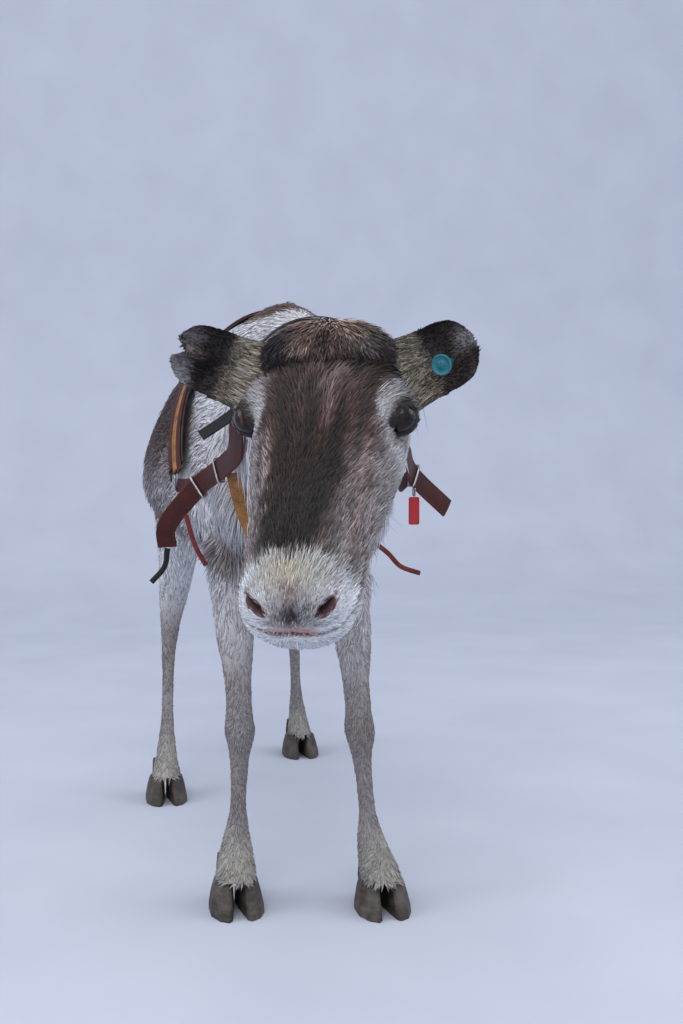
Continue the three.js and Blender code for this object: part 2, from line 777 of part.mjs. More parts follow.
function claw(leg, half, grow = 0) {
  const rings = refine(CLAW, 1).map((station) => {
    const outward = half > 0;
    const reach = {
      left: outward ? station.outer : station.inner,
      right: outward ? station.inner : station.outer,
      up: station.back,
      down: station.front,
      upper: 2.3,
      lower: 2.1,
    };
    const ring = outline(new Vector3(0, station.shift, station.z), X_AXIS, Y_AXIS, reach, CLAW_SIDES, grow);
    ring.forEach((point) => {
      const reachShare = Math.min(point.y / station.front, 0);
      point.x -= half * CLAW_SPREAD.curl * reachShare ** 2;
    });
    return ring;
  });
  const geometry = loft(rings, grow);
  geometry.rotateZ(half * CLAW_SPREAD.splay);
  geometry.translate(leg.foot[0] + half * CLAW_SPREAD.out, leg.foot[1], 0);
  return solid(geometry);
}

function dewClaw(leg, half) {
  const x = leg.foot[0] + half * DEW_CLAW.out;
  const y = leg.foot[1] + DEW_CLAW.back;
  const drop = DEW_CLAW.top - DEW_CLAW.bottom;
  const shares = [0, 0.45, 0.8, 1];
  const rings = shares.map((share) => {
    const size = DEW_CLAW.radius * Math.sqrt(1.04 - share ** 2);
    const reach = { left: size, right: size, up: size * 0.8, down: size * 0.8, upper: 2, lower: 2 };
    const centre = new Vector3(x + half * 4 * share, y - 16 + 30 * share, DEW_CLAW.top - drop * share);
    return outline(centre, X_AXIS, Y_AXIS, reach, 6);
  });
  return solid(loft(rings)).subtract(legForm(leg, GAP)).subtract(claw(leg, half, GAP));
}

// Tail
function tailForm(grow = 0) {
  const rings = refine(TAIL, 2).map((station) => {
    const reach = {
      left: station.half,
      right: station.half,
      up: station.deep,
      down: station.deep,
      upper: 2,
      lower: 2,
    };
    return outline(new Vector3(0, station.y, station.z), X_AXIS, Y_AXIS, reach, 12, grow);
  });
  return solid(loft(rings, grow));
}

function smoothLine(path) {
  const places = path.map((place) => new Vector3(...place));
  return new THREE.CatmullRomCurve3(places, false, 'centripetal');
}

// A flat strap along a smooth path; look gives the way that its broad face looks at a place
function strap(path, width, thick, look, steps = 3 * path.length) {
  const curve = smoothLine(path);
  const rings = [];
  for (let step = 0; step <= steps; step++) {
    const centre = curve.getPointAt(step / steps);
    const tangent = curve.getTangentAt(step / steps);
    const face = look(centre);
    face.addScaledVector(tangent, -face.dot(tangent)).normalize();
    const across = tangent.clone().cross(face);
    const corners = [[1, 1], [-1, 1], [-1, -1], [1, -1]];
    rings.push(corners.map(([side, front]) => {
      const corner = centre.clone().addScaledVector(across, (side * width) / 2);
      return corner.addScaledVector(face, (front * thick) / 2);
    }));
  }
  return solid(loft(rings));
}

// A slab across the body, leaned back from the vertical
function leaningSlab(y, z, lean, width) {
  const slab = new THREE.BoxGeometry(SPAN, width, SPAN);
  slab.rotateX(-lean);
  slab.translate(0, y, z);
  return solid(slab);
}

// A band that wraps a form at a height above it
function wrap(form, rise, thick, slab) {
  return form(rise + thick).subtract(form(rise)).intersect(slab);
}

// The way that the collar's broad face looks: outward, and below the shoulders more to the front
function collarFace(place) {
  const side = place.x - COLLAR.veer * place.y;
  const radial = new Vector3(side, 0, place.z - COLLAR.middle).normalize();
  const upright = THREE.MathUtils.smoothstep(place.z, COLLAR.flared, COLLAR.upright);
  const flare = THREE.MathUtils.lerp(1.6, 0.25, upright);
  return radial.add(new Vector3(0, -flare, 0.3 * flare));
}

function collar(grow = 0) {
  return strap(COLLAR.path, COLLAR.width + 2 * grow, COLLAR.thick + 2 * grow, collarFace, COLLAR.steps);
}

// The strap behind the head, with its free end on the animal's right
function neckStrap(grow = 0) {
  const slab = new THREE.BoxGeometry(SPAN, NECK_STRAP.width + 2 * grow, SPAN);
  slab.translate(0, NECK_STRAP.y, 0);
  const band = wrap(neckForm, GAP - grow, NECK_STRAP.thick + 2 * grow, solid(slab));
  const look = () => new Vector3(-0.5, -1, 0.8);
  const end = strap(NECK_STRAP.end, NECK_STRAP.endWidth + 2 * grow, NECK_STRAP.thick + 2 * grow, look);
  return band.add(end);
}

function throatLoop(grow = 0) {
  const { centre, reach, sides, skip } = THROAT_LOOP;
  const tilted = new Vector3(0, -THROAT_LOOP.lean, 1).normalize();
  const ring = outline(centre, X_AXIS, tilted, reach, sides);
  const low = ring.slice(sides / 2 + skip, sides - skip + 1);
  const look = (place) => {
    const radial = place.clone().sub(centre).normalize();
    return radial.add(new Vector3(0, -THROAT_LOOP.turn, 0));
  };
  const path = low.map((place) => place.toArray());
  return strap(path, THROAT_LOOP.width + 2 * grow, THROAT_LOOP.thick + 2 * grow, look, 28);
}

// A keeper: a straight sleeve round the collar
function keeper(share, grow = 0) {
  const curve = smoothLine(COLLAR.path);
  const centre = curve.getPointAt(share);
  const along = curve.getTangentAt(share);
  const face = collarFace(centre);
  face.addScaledVector(along, -face.dot(along)).normalize();
  const across = along.clone().cross(face);
  const rim = 2 * (KEEPERS.rim + grow);
  const sleeve = new THREE.BoxGeometry(COLLAR.width + rim, COLLAR.thick + rim, KEEPERS.width + 2 * grow);
  sleeve.applyMatrix4(new Matrix4().makeBasis(across, face, along).setPosition(centre));
  return solid(sleeve);
}

function buckle() {
  const shape = new THREE.Shape();
  shape.moveTo(-BUCKLE.wide / 2, -BUCKLE.high / 2);
  shape.lineTo(BUCKLE.wide / 2, -BUCKLE.high / 2);
  shape.lineTo(BUCKLE.wide / 2, BUCKLE.high / 2);
  shape.lineTo(-BUCKLE.wide / 2, BUCKLE.high / 2);
  const hole = new THREE.Path();
  const inner = [BUCKLE.wide / 2 - BUCKLE.bar, BUCKLE.high / 2 - BUCKLE.bar];
  hole.moveTo(-inner[0], -inner[1]);
  hole.lineTo(-inner[0], inner[1]);
  hole.lineTo(inner[0], inner[1]);
  hole.lineTo(inner[0], -inner[1]);
  shape.holes.push(hole);
  return new THREE.ExtrudeGeometry(shape, { depth: BUCKLE.thick, bevelEnabled: false });
}

const outward = (place) => new Vector3(Math.sign(place.x), -0.2, 0.1);
const forward = () => new Vector3(-0.2, -1, 0.2);

function tailSolid() {
  const draw = drawer(3);
  const parts = [tailForm()];
  for (const row of TAIL_LOCKS.rows) {
    for (let index = 0; index < TAIL_LOCKS.count; index++) {
      const turn = ((index + 0.5) / TAIL_LOCKS.count) * Math.PI + TAIL_LOCKS.turnDraw * draw();
      const out = new Vector3(Math.cos(turn), TAIL_LOCKS.flat * Math.sin(turn), 0).normalize();
      const root = new Vector3(0, row.y, row.z + TAIL_LOCKS.heightDraw * draw());
      root.addScaledVector(out, TAIL_LOCKS.reach);
      const fall = new Vector3(TAIL_LOCKS.fall.out * Math.cos(turn), TAIL_LOCKS.fall.back, -1).normalize();
      parts.push(lock(root, out, fall, TAIL_LOCKS));
    }
  }
  return join(parts);
}

// Assembly
const animal = new THREE.Group();
const headGroup = new THREE.Group();
headGroup.applyMatrix4(headFrame);
animal.add(headGroup);

const earClear = [1, -1].map((side) => earLoft(EAR.stations, side, GAP).subtract(headForm(GAP)));
const headClear = join([headForm(GAP), crestForm(1, GAP)]);
headGroup.add(node('head', headSolid().subtract(join(earClear)), COAT_HEAD));
for (const [side, suffix] of [[1, 'left'], [-1, 'right']]) {
  headGroup.add(node(`eye_${suffix}`, eyeball(side), EYE_DARK));
  headGroup.add(node(`ear_${suffix}`, earSolid(side, headClear), COAT_EAR));
}
headGroup.add(node('ear_tag', earTag(1), TAG_TEAL));

// The trunk is one form, parted in front of the shoulders and across the top of each leg
const legTops = LEGS.map((leg) => legForm(leg).intersect(storey(leg.cuts[1], SPAN)));
const neckSide = new THREE.BoxGeometry(SPAN, SPAN, SPAN);
neckSide.translate(0, -SPAN / 2, 0);
neckSide.rotateX(-NECK_PARTING.lean);
neckSide.translate(0, NECK_PARTING.y, NECK_PARTING.z);
const neckSpace = solid(neckSide);
const keeperSpace = join(KEEPERS.shares.map((share) => keeper(share, GAP)));
const trunk = join([torsoForm(), neckForm(0, 0), ...legTops]).subtract(keeperSpace);
const torso = trunk.subtract(neckSpace.translate([0, GAP, 0]));
const legSpace = join(LEGS.map((leg) => legForm(leg, GAP)));
const maneSpace = maneLocks().subtract(torsoForm(GAP)).subtract(legSpace).intersect(neckSpace);
const headParts = join([headForm(GAP), crestForm(1, GAP), crestLocks(), ...earClear]);
const headSpace = headParts.transform(headFrame.elements);
const thongSpace = strap(LOOSE_THONG.path, LOOSE_THONG.width + 2 * GAP, LOOSE_THONG.thick + 2 * GAP, forward);
const strapSpace = join([collar(GAP), throatLoop(GAP), neckStrap(GAP), keeperSpace, thongSpace]);
const neck = trunk.intersect(neckSpace).add(maneSpace).subtract(headSpace).subtract(strapSpace);
animal.add(node('torso', torso, COAT_BODY));
animal.add(node('neck', neck, COAT_NECK));
animal.add(node('tail', tailSolid().subtract(torsoForm(GAP)), COAT_BODY));

for (const leg of LEGS) {
  const clear = torsoForm(GAP);
  const [low, high] = leg.cuts;
  const upper = legForm(leg).intersect(storey(low, high)).subtract(clear);
  const lower = legForm(leg).intersect(storey(0, low));
  animal.add(node(`${leg.name}_upper`, upper, COAT_LEG));
  animal.add(node(`${leg.name}_lower`, lower, COAT_LEG));
  for (const half of [1, -1]) {
    const place = half === leg.side ? 'outer' : 'inner';
    animal.add(node(`${leg.name}_claw_${place}`, claw(leg, half), HORN));
    animal.add(node(`${leg.name}_dew_claw_${place}`, dewClaw(leg, half), HORN));
  }
}

// Harness in place: every strap is cut clear of the coat that it lies on
const coatClear = join([torsoForm(GAP), neckForm(GAP), ...LEGS.map((leg) => legForm(leg, GAP))]);
animal.add(node('collar', collar().subtract(coatClear), LEATHER_RED));
KEEPERS.shares.forEach((share, index) => {
  animal.add(node(`collar_keeper_${index + 1}`, keeper(share).subtract(collar(GAP)), STEEL));
});
animal.add(node('throat_loop', throatLoop().subtract(coatClear).subtract(collar(GAP)), LEATHER_OCHRE));
animal.add(node('neck_strap', neckStrap().subtract(neckForm(GAP)), LEATHER_BLACK));

const saddleSpace = storey(SADDLE.z, SPAN);
const padSlab = leaningSlab(SADDLE.y, SADDLE.z, SADDLE.lean, SADDLE.pad).intersect(saddleSpace);
animal.add(node('saddle_pad', wrap(torsoForm, GAP, SADDLE.padThick, padSlab), LEATHER_BLACK));
const strips = [['front', LEATHER_RED], ['middle', LEATHER_OCHRE], ['rear', LEATHER_RED]];
strips.forEach(([place, material], index) => {
  const offset = (index - 1) * SADDLE.pitch;
  const slab = leaningSlab(SADDLE.y + offset / Math.cos(SADDLE.lean), SADDLE.z, SADDLE.lean, SADDLE.strip);
  const rise = SADDLE.padThick + 2 * GAP;
  const strip = wrap(torsoForm, rise, SADDLE.stripThick, slab.intersect(saddleSpace));
  animal.add(node(`saddle_strip_${place}`, strip, material));
});
for (const [side, suffix] of [[1, 'left'], [-1, 'right']]) {
  const places = [...SIDE_STRAP.path, ...SIDE_STRAP.fronts[suffix]];
  const path = places.map(([x, y, z]) => [side * x, y, z]);
  const joining = strap(path, SIDE_STRAP.width, SIDE_STRAP.thick, outward);
  const clear = coatClear.add(collar(GAP));
  const frame = buckle();
  frame.rotateY(side * Math.PI / 2);
  frame.translate(side * BUCKLE.out, BUCKLE.y, BUCKLE.z);
  const buckleSolid = solid(frame).subtract(coatClear);
  animal.add(node(`side_strap_${suffix}`, joining.subtract(clear), LEATHER_RED));
  animal.add(node(`saddle_buckle_${suffix}`, buckleSolid, STEEL));
}
const collarEnd = strap(COLLAR_END.path, COLLAR_END.width, COLLAR_END.thick, forward);
const chestThong = strap(CHEST_THONG.path, CHEST_THONG.width, CHEST_THONG.thick, forward);
const looseThong = strap(LOOSE_THONG.path, LOOSE_THONG.width, LOOSE_THONG.thick, forward);
animal.add(node('collar_end', collarEnd.subtract(collar(GAP)), LEATHER_BLACK));
animal.add(node('chest_thong', chestThong.subtract(coatClear).subtract(collar(GAP)), LEATHER_RED));
animal.add(node('loose_thong', looseThong.subtract(coatClear).subtract(throatLoop(GAP)), LEATHER_RED));

const tag = new THREE.Mesh(new THREE.BoxGeometry(TAG.wide, TAG.thick, TAG.high), TAG_RED);
tag.name = 'collar_tag';
tag.position.set(TAG.x, TAG.y, TAG.z);
animal.add(tag);
const link = new THREE.Mesh(new THREE.TorusGeometry(TAG.link, TAG.wire, 5, 10), STEEL);
link.name = 'collar_tag_link';
link.rotation.y = Math.PI / 2;
link.position.set(TAG.x, TAG.y, TAG.z + TAG.high / 2 + TAG.link + TAG.wire + GAP);
animal.add(link);

// The model's origin is on the floor, under the middle of everything above
const model = new THREE.Group();
model.add(animal);
model.updateMatrixWorld(true);
const extent = new THREE.Box3().setFromObject(model, true);
const centre = extent.getCenter(new Vector3());
animal.position.set(-centre.x, -centre.y, -extent.min.z);

export default model;
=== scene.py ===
import math

import bpy
import numpy as np
from mathutils import Matrix, Vector, bvhtree, kdtree


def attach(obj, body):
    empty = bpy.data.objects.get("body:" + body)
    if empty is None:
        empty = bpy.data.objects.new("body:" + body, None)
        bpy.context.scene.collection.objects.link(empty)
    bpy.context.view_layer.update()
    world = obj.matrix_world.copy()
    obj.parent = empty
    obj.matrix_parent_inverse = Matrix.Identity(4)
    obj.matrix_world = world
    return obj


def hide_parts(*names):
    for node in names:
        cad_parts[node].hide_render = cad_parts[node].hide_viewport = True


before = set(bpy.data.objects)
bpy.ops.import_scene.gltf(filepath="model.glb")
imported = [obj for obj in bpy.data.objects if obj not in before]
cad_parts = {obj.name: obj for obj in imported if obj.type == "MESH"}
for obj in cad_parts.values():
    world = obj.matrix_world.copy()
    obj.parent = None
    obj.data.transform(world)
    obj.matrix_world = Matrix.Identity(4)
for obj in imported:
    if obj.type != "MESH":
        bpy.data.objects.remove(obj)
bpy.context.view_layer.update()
bpy.ops.object.select_all(action="DESELECT")

# Room: a pale floor that curves up into a wall, soft light from a large lamp high in front and a weaker
# one on each side, and the viewing place: low in front of the animal, a little to its right.


def add_object(name, data):
    made = bpy.data.objects.new(name, data)
    bpy.context.collection.objects.link(made)
    return made


def add_mesh(name, points, faces):
    mesh = bpy.data.meshes.new(name)
    mesh.from_pydata(np.asarray(points, float).tolist(), [], faces)
    return add_object(name, mesh)


view_turn, view_drop = math.radians(-12.4), math.radians(2.0)
camera_data = bpy.data.cameras.new("view")
camera_data.lens = 42.19
camera_data.sensor_width = 36
camera = add_object("view", camera_data)
camera.location = (-0.3229, -1.8637, 0.66)
camera.rotation_euler = (math.pi / 2 - view_drop, 0, view_turn)
bpy.context.scene.camera = camera

floor_side = 9
floor_profile = [(-6, 0), (3.2, 0), (3.8, 0.06), (4.3, 0.25), (4.7, 0.6), (4.9, 1.1), (5, 1.7), (5, 6)]
floor_points = [(x, y, z) for y, z in floor_profile for x in (-floor_side, floor_side)]
floor_faces = [(2 * i, 2 * i + 1, 2 * i + 3, 2 * i + 2) for i in range(len(floor_profile) - 1)]
floor = add_mesh("floor", floor_points, floor_faces)
for face in floor.data.polygons:
    face.use_smooth = True


class Socket:
    """A shader socket that takes part in plain arithmetic."""

    def __init__(self, tree, socket=None):
        self.tree = tree
        self.socket = socket

    def node(self, kind, inputs=(), out=0, **settings):
        made = self.tree.nodes.new(kind)
        for name, value in settings.items():
            setattr(made, name, value)
        for key, value in dict(inputs).items():
            if isinstance(value, Socket):
                self.tree.links.new(value.socket, made.inputs[key])
            elif value is not None:
                made.inputs[key].default_value = value
        return Socket(self.tree, made.outputs[out])

    def sum(self, operation, first, second=None):
        return self.node("ShaderNodeMath", {0: first, 1: second}, operation=operation)

    def __add__(self, other):
        return self.sum("ADD", self, other)

    def __sub__(self, other):
        return self.sum("SUBTRACT", self, other)

    def __rsub__(self, other):
        return self.sum("SUBTRACT", other, self)

    def __mul__(self, other):
        return self.sum("MULTIPLY", self, other)

    def size(self):
        return self.sum("ABSOLUTE", self)

    def clamp(self):
        return self.node("ShaderNodeClamp", {0: self})

    def axis(self, index):
        return self.node("ShaderNodeSeparateXYZ", {0: self}, out=index)

    def scaled(self, x, y, z):
        return self.node("ShaderNodeVectorMath", {0: self, 1: (x, y, z)}, operation="MULTIPLY")

    def noise(self, scale, detail=3, roughness=0.5):
        inputs = {"Vector": self, "Scale": scale, "Detail": detail, "Roughness": roughness}
        return self.node("ShaderNodeTexNoise", inputs)

    def ramp(self, *stops):
        made = self.node("ShaderNodeValToRGB", {0: self})
        elements = made.socket.node.color_ramp.elements
        while len(elements) < len(stops):
            elements.new(0.5)
        for stop, (place, colour) in zip(elements, stops):
            stop.position = place
            stop.color = colour
        return made

    def blend(self, share, first, second, kind="MIX"):
        inputs = {0: share, 6: first, 7: second}
        return self.node("ShaderNodeMix", inputs, out=2, data_type="RGBA", blend_type=kind)

    def mix(self, first, second):
        """Two colours, with this value as the share of the second."""
        return self.blend(self, first, second)

    def times(self, share, other):
        """This colour multiplied by another one, to a share."""
        return self.blend(share, self, other, "MULTIPLY")

    def relief(self, strength, distance):
        """This value as the height of fine bumps."""
        return self.node("ShaderNodeBump", {"Strength": strength, "Distance": distance, "Height": self})

    def place(self):
        return self.node("ShaderNodeTexCoord", out=3)

    def along(self, name):
        """The place on the map of that name."""
        return self.node("ShaderNodeUVMap", uv_map=name)


def linear(*colour):
    """A colour given in screen values from 0 to 255."""
    share = np.array(colour, float) / 255
    return np.where(share <= 0.04045, share / 12.92, ((share + 0.055) / 1.055) ** 2.4)


def shade(*colour):
    return (*[float(value) for value in linear(*colour)], 1)


def grey(level):
    return (level, level, level, 1)


def new_material(name, **fixed):
    """A material, and a Socket with which to build it; fixed values are set on the shader itself."""
    material = bpy.data.materials.new(name)
    material.use_nodes = True
    shader = material.node_tree.nodes["Principled BSDF"]
    for key, value in fixed.items():
        shader.inputs[key.replace("_", " ")].default_value = value
    return material, Socket(material.node_tree)


def feed(material, **inputs):
    shader = material.node_tree.nodes["Principled BSDF"]
    for key, value in inputs.items():
        material.node_tree.links.new(value.socket, shader.inputs[key.replace("_", " ")])


floor_paint, paint = new_material("floor_paint", Roughness=0.9)
floor_tone = paint.place().noise(3, 2).ramp((0.3, shade(192, 197, 211)), (0.7, shade(199, 204, 217)))
feed(floor_paint, Base_Color=floor_tone)
floor.data.materials.append(floor_paint)

lamp_aim = Vector((0, 0, 0.6))


def soft_lamp(name, place, size, power, colour):
    lamp_data = bpy.data.lights.new(name, "AREA")
    lamp_data.shape = "DISK"
    lamp_data.size = size
    lamp_data.energy = power
    lamp_data.color = colour
    lamp = add_object(name, lamp_data)
    lamp.location = place
    lamp.rotation_euler = (lamp_aim - Vector(place)).to_track_quat("-Z", "Y").to_euler()


soft_lamp("lamp_front", (-0.9, -3.0, 3.2), 2.8, 62, (1, 0.99, 0.97))
soft_lamp("lamp_left", (3.4, -1.0, 2.4), 2.4, 30, (0.97, 0.98, 1))
soft_lamp("lamp_right", (-3.4, -0.6, 2.4), 2.4, 30, (0.97, 0.98, 1))
sky = bpy.data.worlds.new("sky")
sky.use_nodes = True
sky_light = sky.node_tree.nodes["Background"].inputs
sky_light["Color"].default_value = (0.86, 0.91, 1.0, 1)
sky_light["Strength"].default_value = 0.9
bpy.context.scene.world = sky
bpy.context.scene.view_settings.view_transform = "Standard"

# Skin: the whole body under the hair as one closed surface. The barrel, neck, head and legs are smooth
# tubes through the animal's measured sections, given in millimetres, with the floor at 0 and the
# animal facing -Y; they are fused and then eased inward by the depth of the coat at each place.
stand = np.array([11.21, -93.74, 0.0])
TORSO, NECK, HEAD, FORE_RIGHT, FORE_LEFT, HIND_RIGHT, HIND_LEFT, TAIL, CREST, EAR, RIM = range(11)
LEGS = (FORE_RIGHT, FORE_LEFT, HIND_RIGHT, HIND_LEFT)
X_WAY, Y_WAY, Z_WAY = np.eye(3)


def through(rows, steps):
    """The rows of a table with smooth steps between them."""
    rows = np.array(rows, float)
    place = np.linspace(0, len(rows) - 1, (len(rows) - 1) * steps + 1)
    first = np.minimum(place.astype(int), len(rows) - 2)
    share = (place - first)[:, None]
    before, start = rows[np.maximum(first - 1, 0)], rows[first]
    end, after = rows[first + 1], rows[np.minimum(first + 2, len(rows) - 1)]
    rise, fall = (end - before) / 2, (after - start) / 2
    square, cube = share**2, share**3
    held = (2 * cube - 3 * square + 1) * start + (3 * square - 2 * cube) * end
    return held + (cube - 2 * square + share) * rise + (cube - square) * fall


def unit(vectors):
    return vectors / np.maximum(np.linalg.norm(vectors, axis=-1, keepdims=True), 1e-9)


def columns(values):
    """Single values and rows of values, side by side."""
    return np.stack(np.broadcast_arrays(*[np.atleast_1d(value) for value in values]), 1).astype(float)


def rings(centre, across, up, reach, power, sides=64):
    """Rounded outlines: reach is to the left, right, up and down, power the squareness up and down."""
    centre, reach, power = columns(centre), columns(reach), columns(power)
    across, up = np.broadcast_to(across, centre.shape), np.broadcast_to(up, centre.shape)
    angle = np.arange(sides) / sides * 2 * math.pi
    cosine, sine = np.cos(angle), np.sin(angle)
    high = (sine > 0)[None, :]
    root = 2 / np.where(high, power[:, :1], power[:, 1:])
    wide = np.where(cosine > 0, reach[:, :1], reach[:, 1:2]) * np.sign(cosine) * np.abs(cosine) ** root
    tall = np.where(high, reach[:, 2:3], reach[:, 3:]) * np.sign(sine) * np.abs(sine) ** root
    return centre[:, None] + wide[:, :, None] * across[:, None] + tall[:, :, None] * up[:, None]


# Torso rows are the place along the animal, top, bottom and half width
torso_rows = [
    (-110, 760, 560, 60),
    (-60, 838, 520, 108),
    (0, 890, 500, 138),
    (90, 925, 496, 164),
    (190, 944, 500, 187),
    (320, 938, 507, 208),
    (450, 935, 512, 222),
    (570, 939, 526, 213),
    (690, 945, 558, 195),
    (800, 942, 606, 170),
    (885, 905, 652, 130),
    (935, 840, 700, 70),
]


def torso_rings(rows):
    y, top, bottom, half = rows.T
    level = bottom + 0.32 * (top - bottom)
    return rings((0, y, level), X_WAY, Z_WAY, (half, half, top - level, level - bottom), (1.65, 2.2))


# Neck rows are x, y, z of the middle, half width, reach up and reach down
neck_rows = [
    (0, 30, 722, 125, 150, 165),
    (-4, -60, 716, 122, 140, 176),
    (-20, -170, 724, 110, 118, 172),
    (-45, -300, 737, 96, 104, 156),
    (-62, -440, 745, 84, 90, 128),
    (-76, -570, 748, 73, 70, 96),
    (-92, -640, 735, 52, 48, 56),
]


def neck_rings(rows):
    middle, (half, high, low) = rows[:, :3], rows[:, 3:].T
    along = unit(np.gradient(middle, axis=0))
    across = unit(np.cross(Z_WAY, along))
    return rings(middle.T, across, np.cross(along, across), (half, half, high, low), (2, 1.9))


# Head rows are the distance ahead of the eyes, top, bottom, half width, level of the width, squareness
head_rows = [
    (-142, 2, -62, 46, -24, 2),
    (-120, 14, -94, 62, -22, 2.1),
    (-80, 27, -114, 71, -22, 2.3),
    (-40, 39, -120, 77, -28, 2.4),
    (0, 45, -110, 75, -32, 2.4),
    (35, 42, -99, 70, -34, 2.2),
    (70, 36, -91, 64, -34, 2.1),
    (110, 30, -84, 57, -33, 2.1),
    (150, 24, -80, 52, -33, 2.2),
    (183, 17, -78, 51, -34, 2.3),
    (206, 8, -72, 48, -35, 2.4),
    (221, -5, -62, 38, -34, 2.3),
    (229, -18, -48, 22, -33, 2),
]
head_turn = np.array(Matrix.Rotation(math.radians(-22), 3, "Z") @ Matrix.Rotation(math.radians(43.2), 3, "X"))
head_centre = np.array([-110.0, -679.0, 704.5])


def from_head(points):
    """From the head's own directions (left, back, up from between the eyes) to the room's."""
    return np.asarray(points, float) @ head_turn.T + head_centre


def to_head(points):
    return (np.asarray(points, float) - head_centre) @ head_turn


def head_rings(rows):
    ahead, top, bottom, half, level, square = rows.T
    reach = (half, half, top - level, level - bottom)
    return from_head(rings((0, -ahead, level), X_WAY, Z_WAY, reach, (square, 2.05)))


def ball_rings(centre, size):
    """A rounded lump in the head's directions."""
    angle = np.linspace(0.12, math.pi - 0.12, 24)
    wide, tall = np.sin(angle) * size[0], np.sin(angle) * size[2]
    middle = (centre[0], centre[1] - np.cos(angle) * size[1], centre[2])
    return from_head(rings(middle, X_WAY, Z_WAY, (wide, wide, tall, tall), (2, 2), 48))


# Leg rows are height, x and y of the middle, half width, reach to the front and to the back
foreleg_rows = [
    (640, 92, 85, 52, 78, 78),
    (560, 100, 66, 46, 66, 66),
    (500, 106, 48, 38, 50, 52),
    (450, 104, 36, 34, 40, 44),
    (405, 102, 28, 31, 34, 38),
    (345, 99, 20, 22.5, 27, 28),
    (305, 98, 16, 21, 24, 24),
    (266, 97, 14, 24.5, 26, 25),
    (232, 97, 16, 18, 20, 22),
    (190, 98, 18, 14, 15, 19),
    (140, 99, 20, 14.5, 15, 20),
    (103, 101, 21, 22, 22, 27),
    (72, 104, 8, 28, 30, 32),
    (48, 106, -2, 32, 42, 36),
]
hindleg_rows = [
    (790, 100, 60, 62, 110, 95),
    (700, 112, 32, 72, 120, 100),
    (620, 122, -8, 64, 100, 98),
    (550, 130, -24, 52, 72, 84),
    (480, 137, 6, 42, 52, 62),
    (410, 142, 44, 34, 38, 42),
    (365, 146, 68, 26, 32, 36),
    (325, 149, 78, 20, 30, 32),
    (285, 152, 74, 16, 24, 26),
    (230, 155, 62, 13.5, 18, 19),
    (160, 158, 46, 13.5, 17, 18),
    (108, 161, 34, 19, 21, 26),
    (74, 163, 20, 24, 28, 30),
    (48, 165, 8, 29, 38, 34),
]
# The part of the body, its table, side, the place of its foot, and how far its top leans from there
legs = [
    (FORE_RIGHT, foreleg_rows, -1, (-106, 10), (0, 0)),
    (FORE_LEFT, foreleg_rows, 1, (108, -36), (-50, 20)),
    (HIND_RIGHT, hindleg_rows, -1, (-165, 640), (0, 70)),
    (HIND_LEFT, hindleg_rows, 1, (166, 960), (0, -190)),
]


def leg_rings(rows, side, foot, lean):
    z, x, y, half, front, back = rows.T
    share = (z - z[-1]) / (z[0] - z[-1])
    x = foot[0] + side * (x - x[-1]) + share * lean[0]
    y = foot[1] + y - y[-1] + share * lean[1]
    return rings((x, y, z), X_WAY, Y_WAY, (half, half, back, front), (2.1, 2.1), 40)


# Tail rows are height, place along the animal, half width and half depth
tail_rows = [(890, 880, 24, 24), (850, 915, 26, 20), (805, 938, 24, 17), (770, 944, 15, 11), (752, 946, 7, 5)]


def tail_rings(rows):
    z, y, half, deep = rows.T
    return rings((0, y, z), X_WAY, Y_WAY, (half, half, deep, deep), (2, 2), 24)


forms = [
    (TORSO, torso_rings(through(torso_rows, 8))),
    (NECK, neck_rings(through(neck_rows, 10))),
    (HEAD, head_rings(through(head_rows, 6))),
    (CREST, ball_rings((-5, 84, 13), (63, 38, 34))),
    (TAIL, tail_rings(through(tail_rows, 6))),
]
# The brows and the sides of the nose
for side in (-1, 1):
    forms.append((HEAD, ball_rings((side * 50, 14, 14), (25, 34, 19))))
    forms.append((HEAD, ball_rings((side * 27, -200, -12), (19, 24, 19))))
for part, rows, side, foot, lean in legs:
    forms.append((part, leg_rings(through(rows, 6), side, foot, lean)))


def placed(points):
    """From the millimetres of the tables to the room."""
    return (points + stand) / 1000


def numbered(grid, start=0):
    return start + np.arange(grid.shape[0] * grid.shape[1]).reshape(grid.shape[:2])


def between(low, high):
    """Four-cornered faces between neighbouring rings of points."""
    return np.stack([low, np.roll(low, -1, 1), np.roll(high, -1, 1), high], -1).reshape(-1, 4)


def stacked(grids, order=(0, 1, 2, 3)):
    """The points of many grids of rings, and the faces between them."""
    faces, start = [], 0
    for grid in grids:
        index = numbered(grid, start)
        faces += between(index[:-1], index[1:])[:, order].tolist()
        start += index.size
    return np.concatenate([grid.reshape(-1, 3) for grid in grids]), faces


def only(*pieces):
    """Selects the pieces alone, with the last one active."""
    bpy.ops.object.select_all(action="DESELECT")
    for piece in pieces:
        piece.select_set(True)
    bpy.context.view_layer.objects.active = pieces[-1]


def edit(*steps):
    """Runs operators, each with its settings, on the active piece in edit mode."""
    bpy.ops.object.mode_set(mode="EDIT")
    for step, settings in steps:
        step(**settings)
    bpy.ops.object.mode_set(mode="OBJECT")


whole, nothing = [(bpy.ops.mesh.select_all, {"action": action}) for action in ("SELECT", "DESELECT")]
by_face, by_edge = [(bpy.ops.mesh.select_mode, {"type": kind}) for kind in ("FACE", "EDGE")]


def outward(body):
    """Turns all faces of a closed body to the outside."""
    only(body)
    edit(whole, (bpy.ops.mesh.normals_make_consistent, {"inside": False}))
    return body


def fuse(body, voxel, times):
    """Makes the active body one closed surface, with its steps eased."""
    body.data.remesh_voxel_size = voxel
    bpy.ops.object.voxel_remesh()
    ease = body.modifiers.new("ease", "SMOOTH")
    ease.iterations = times
    bpy.ops.object.modifier_apply(modifier="ease")


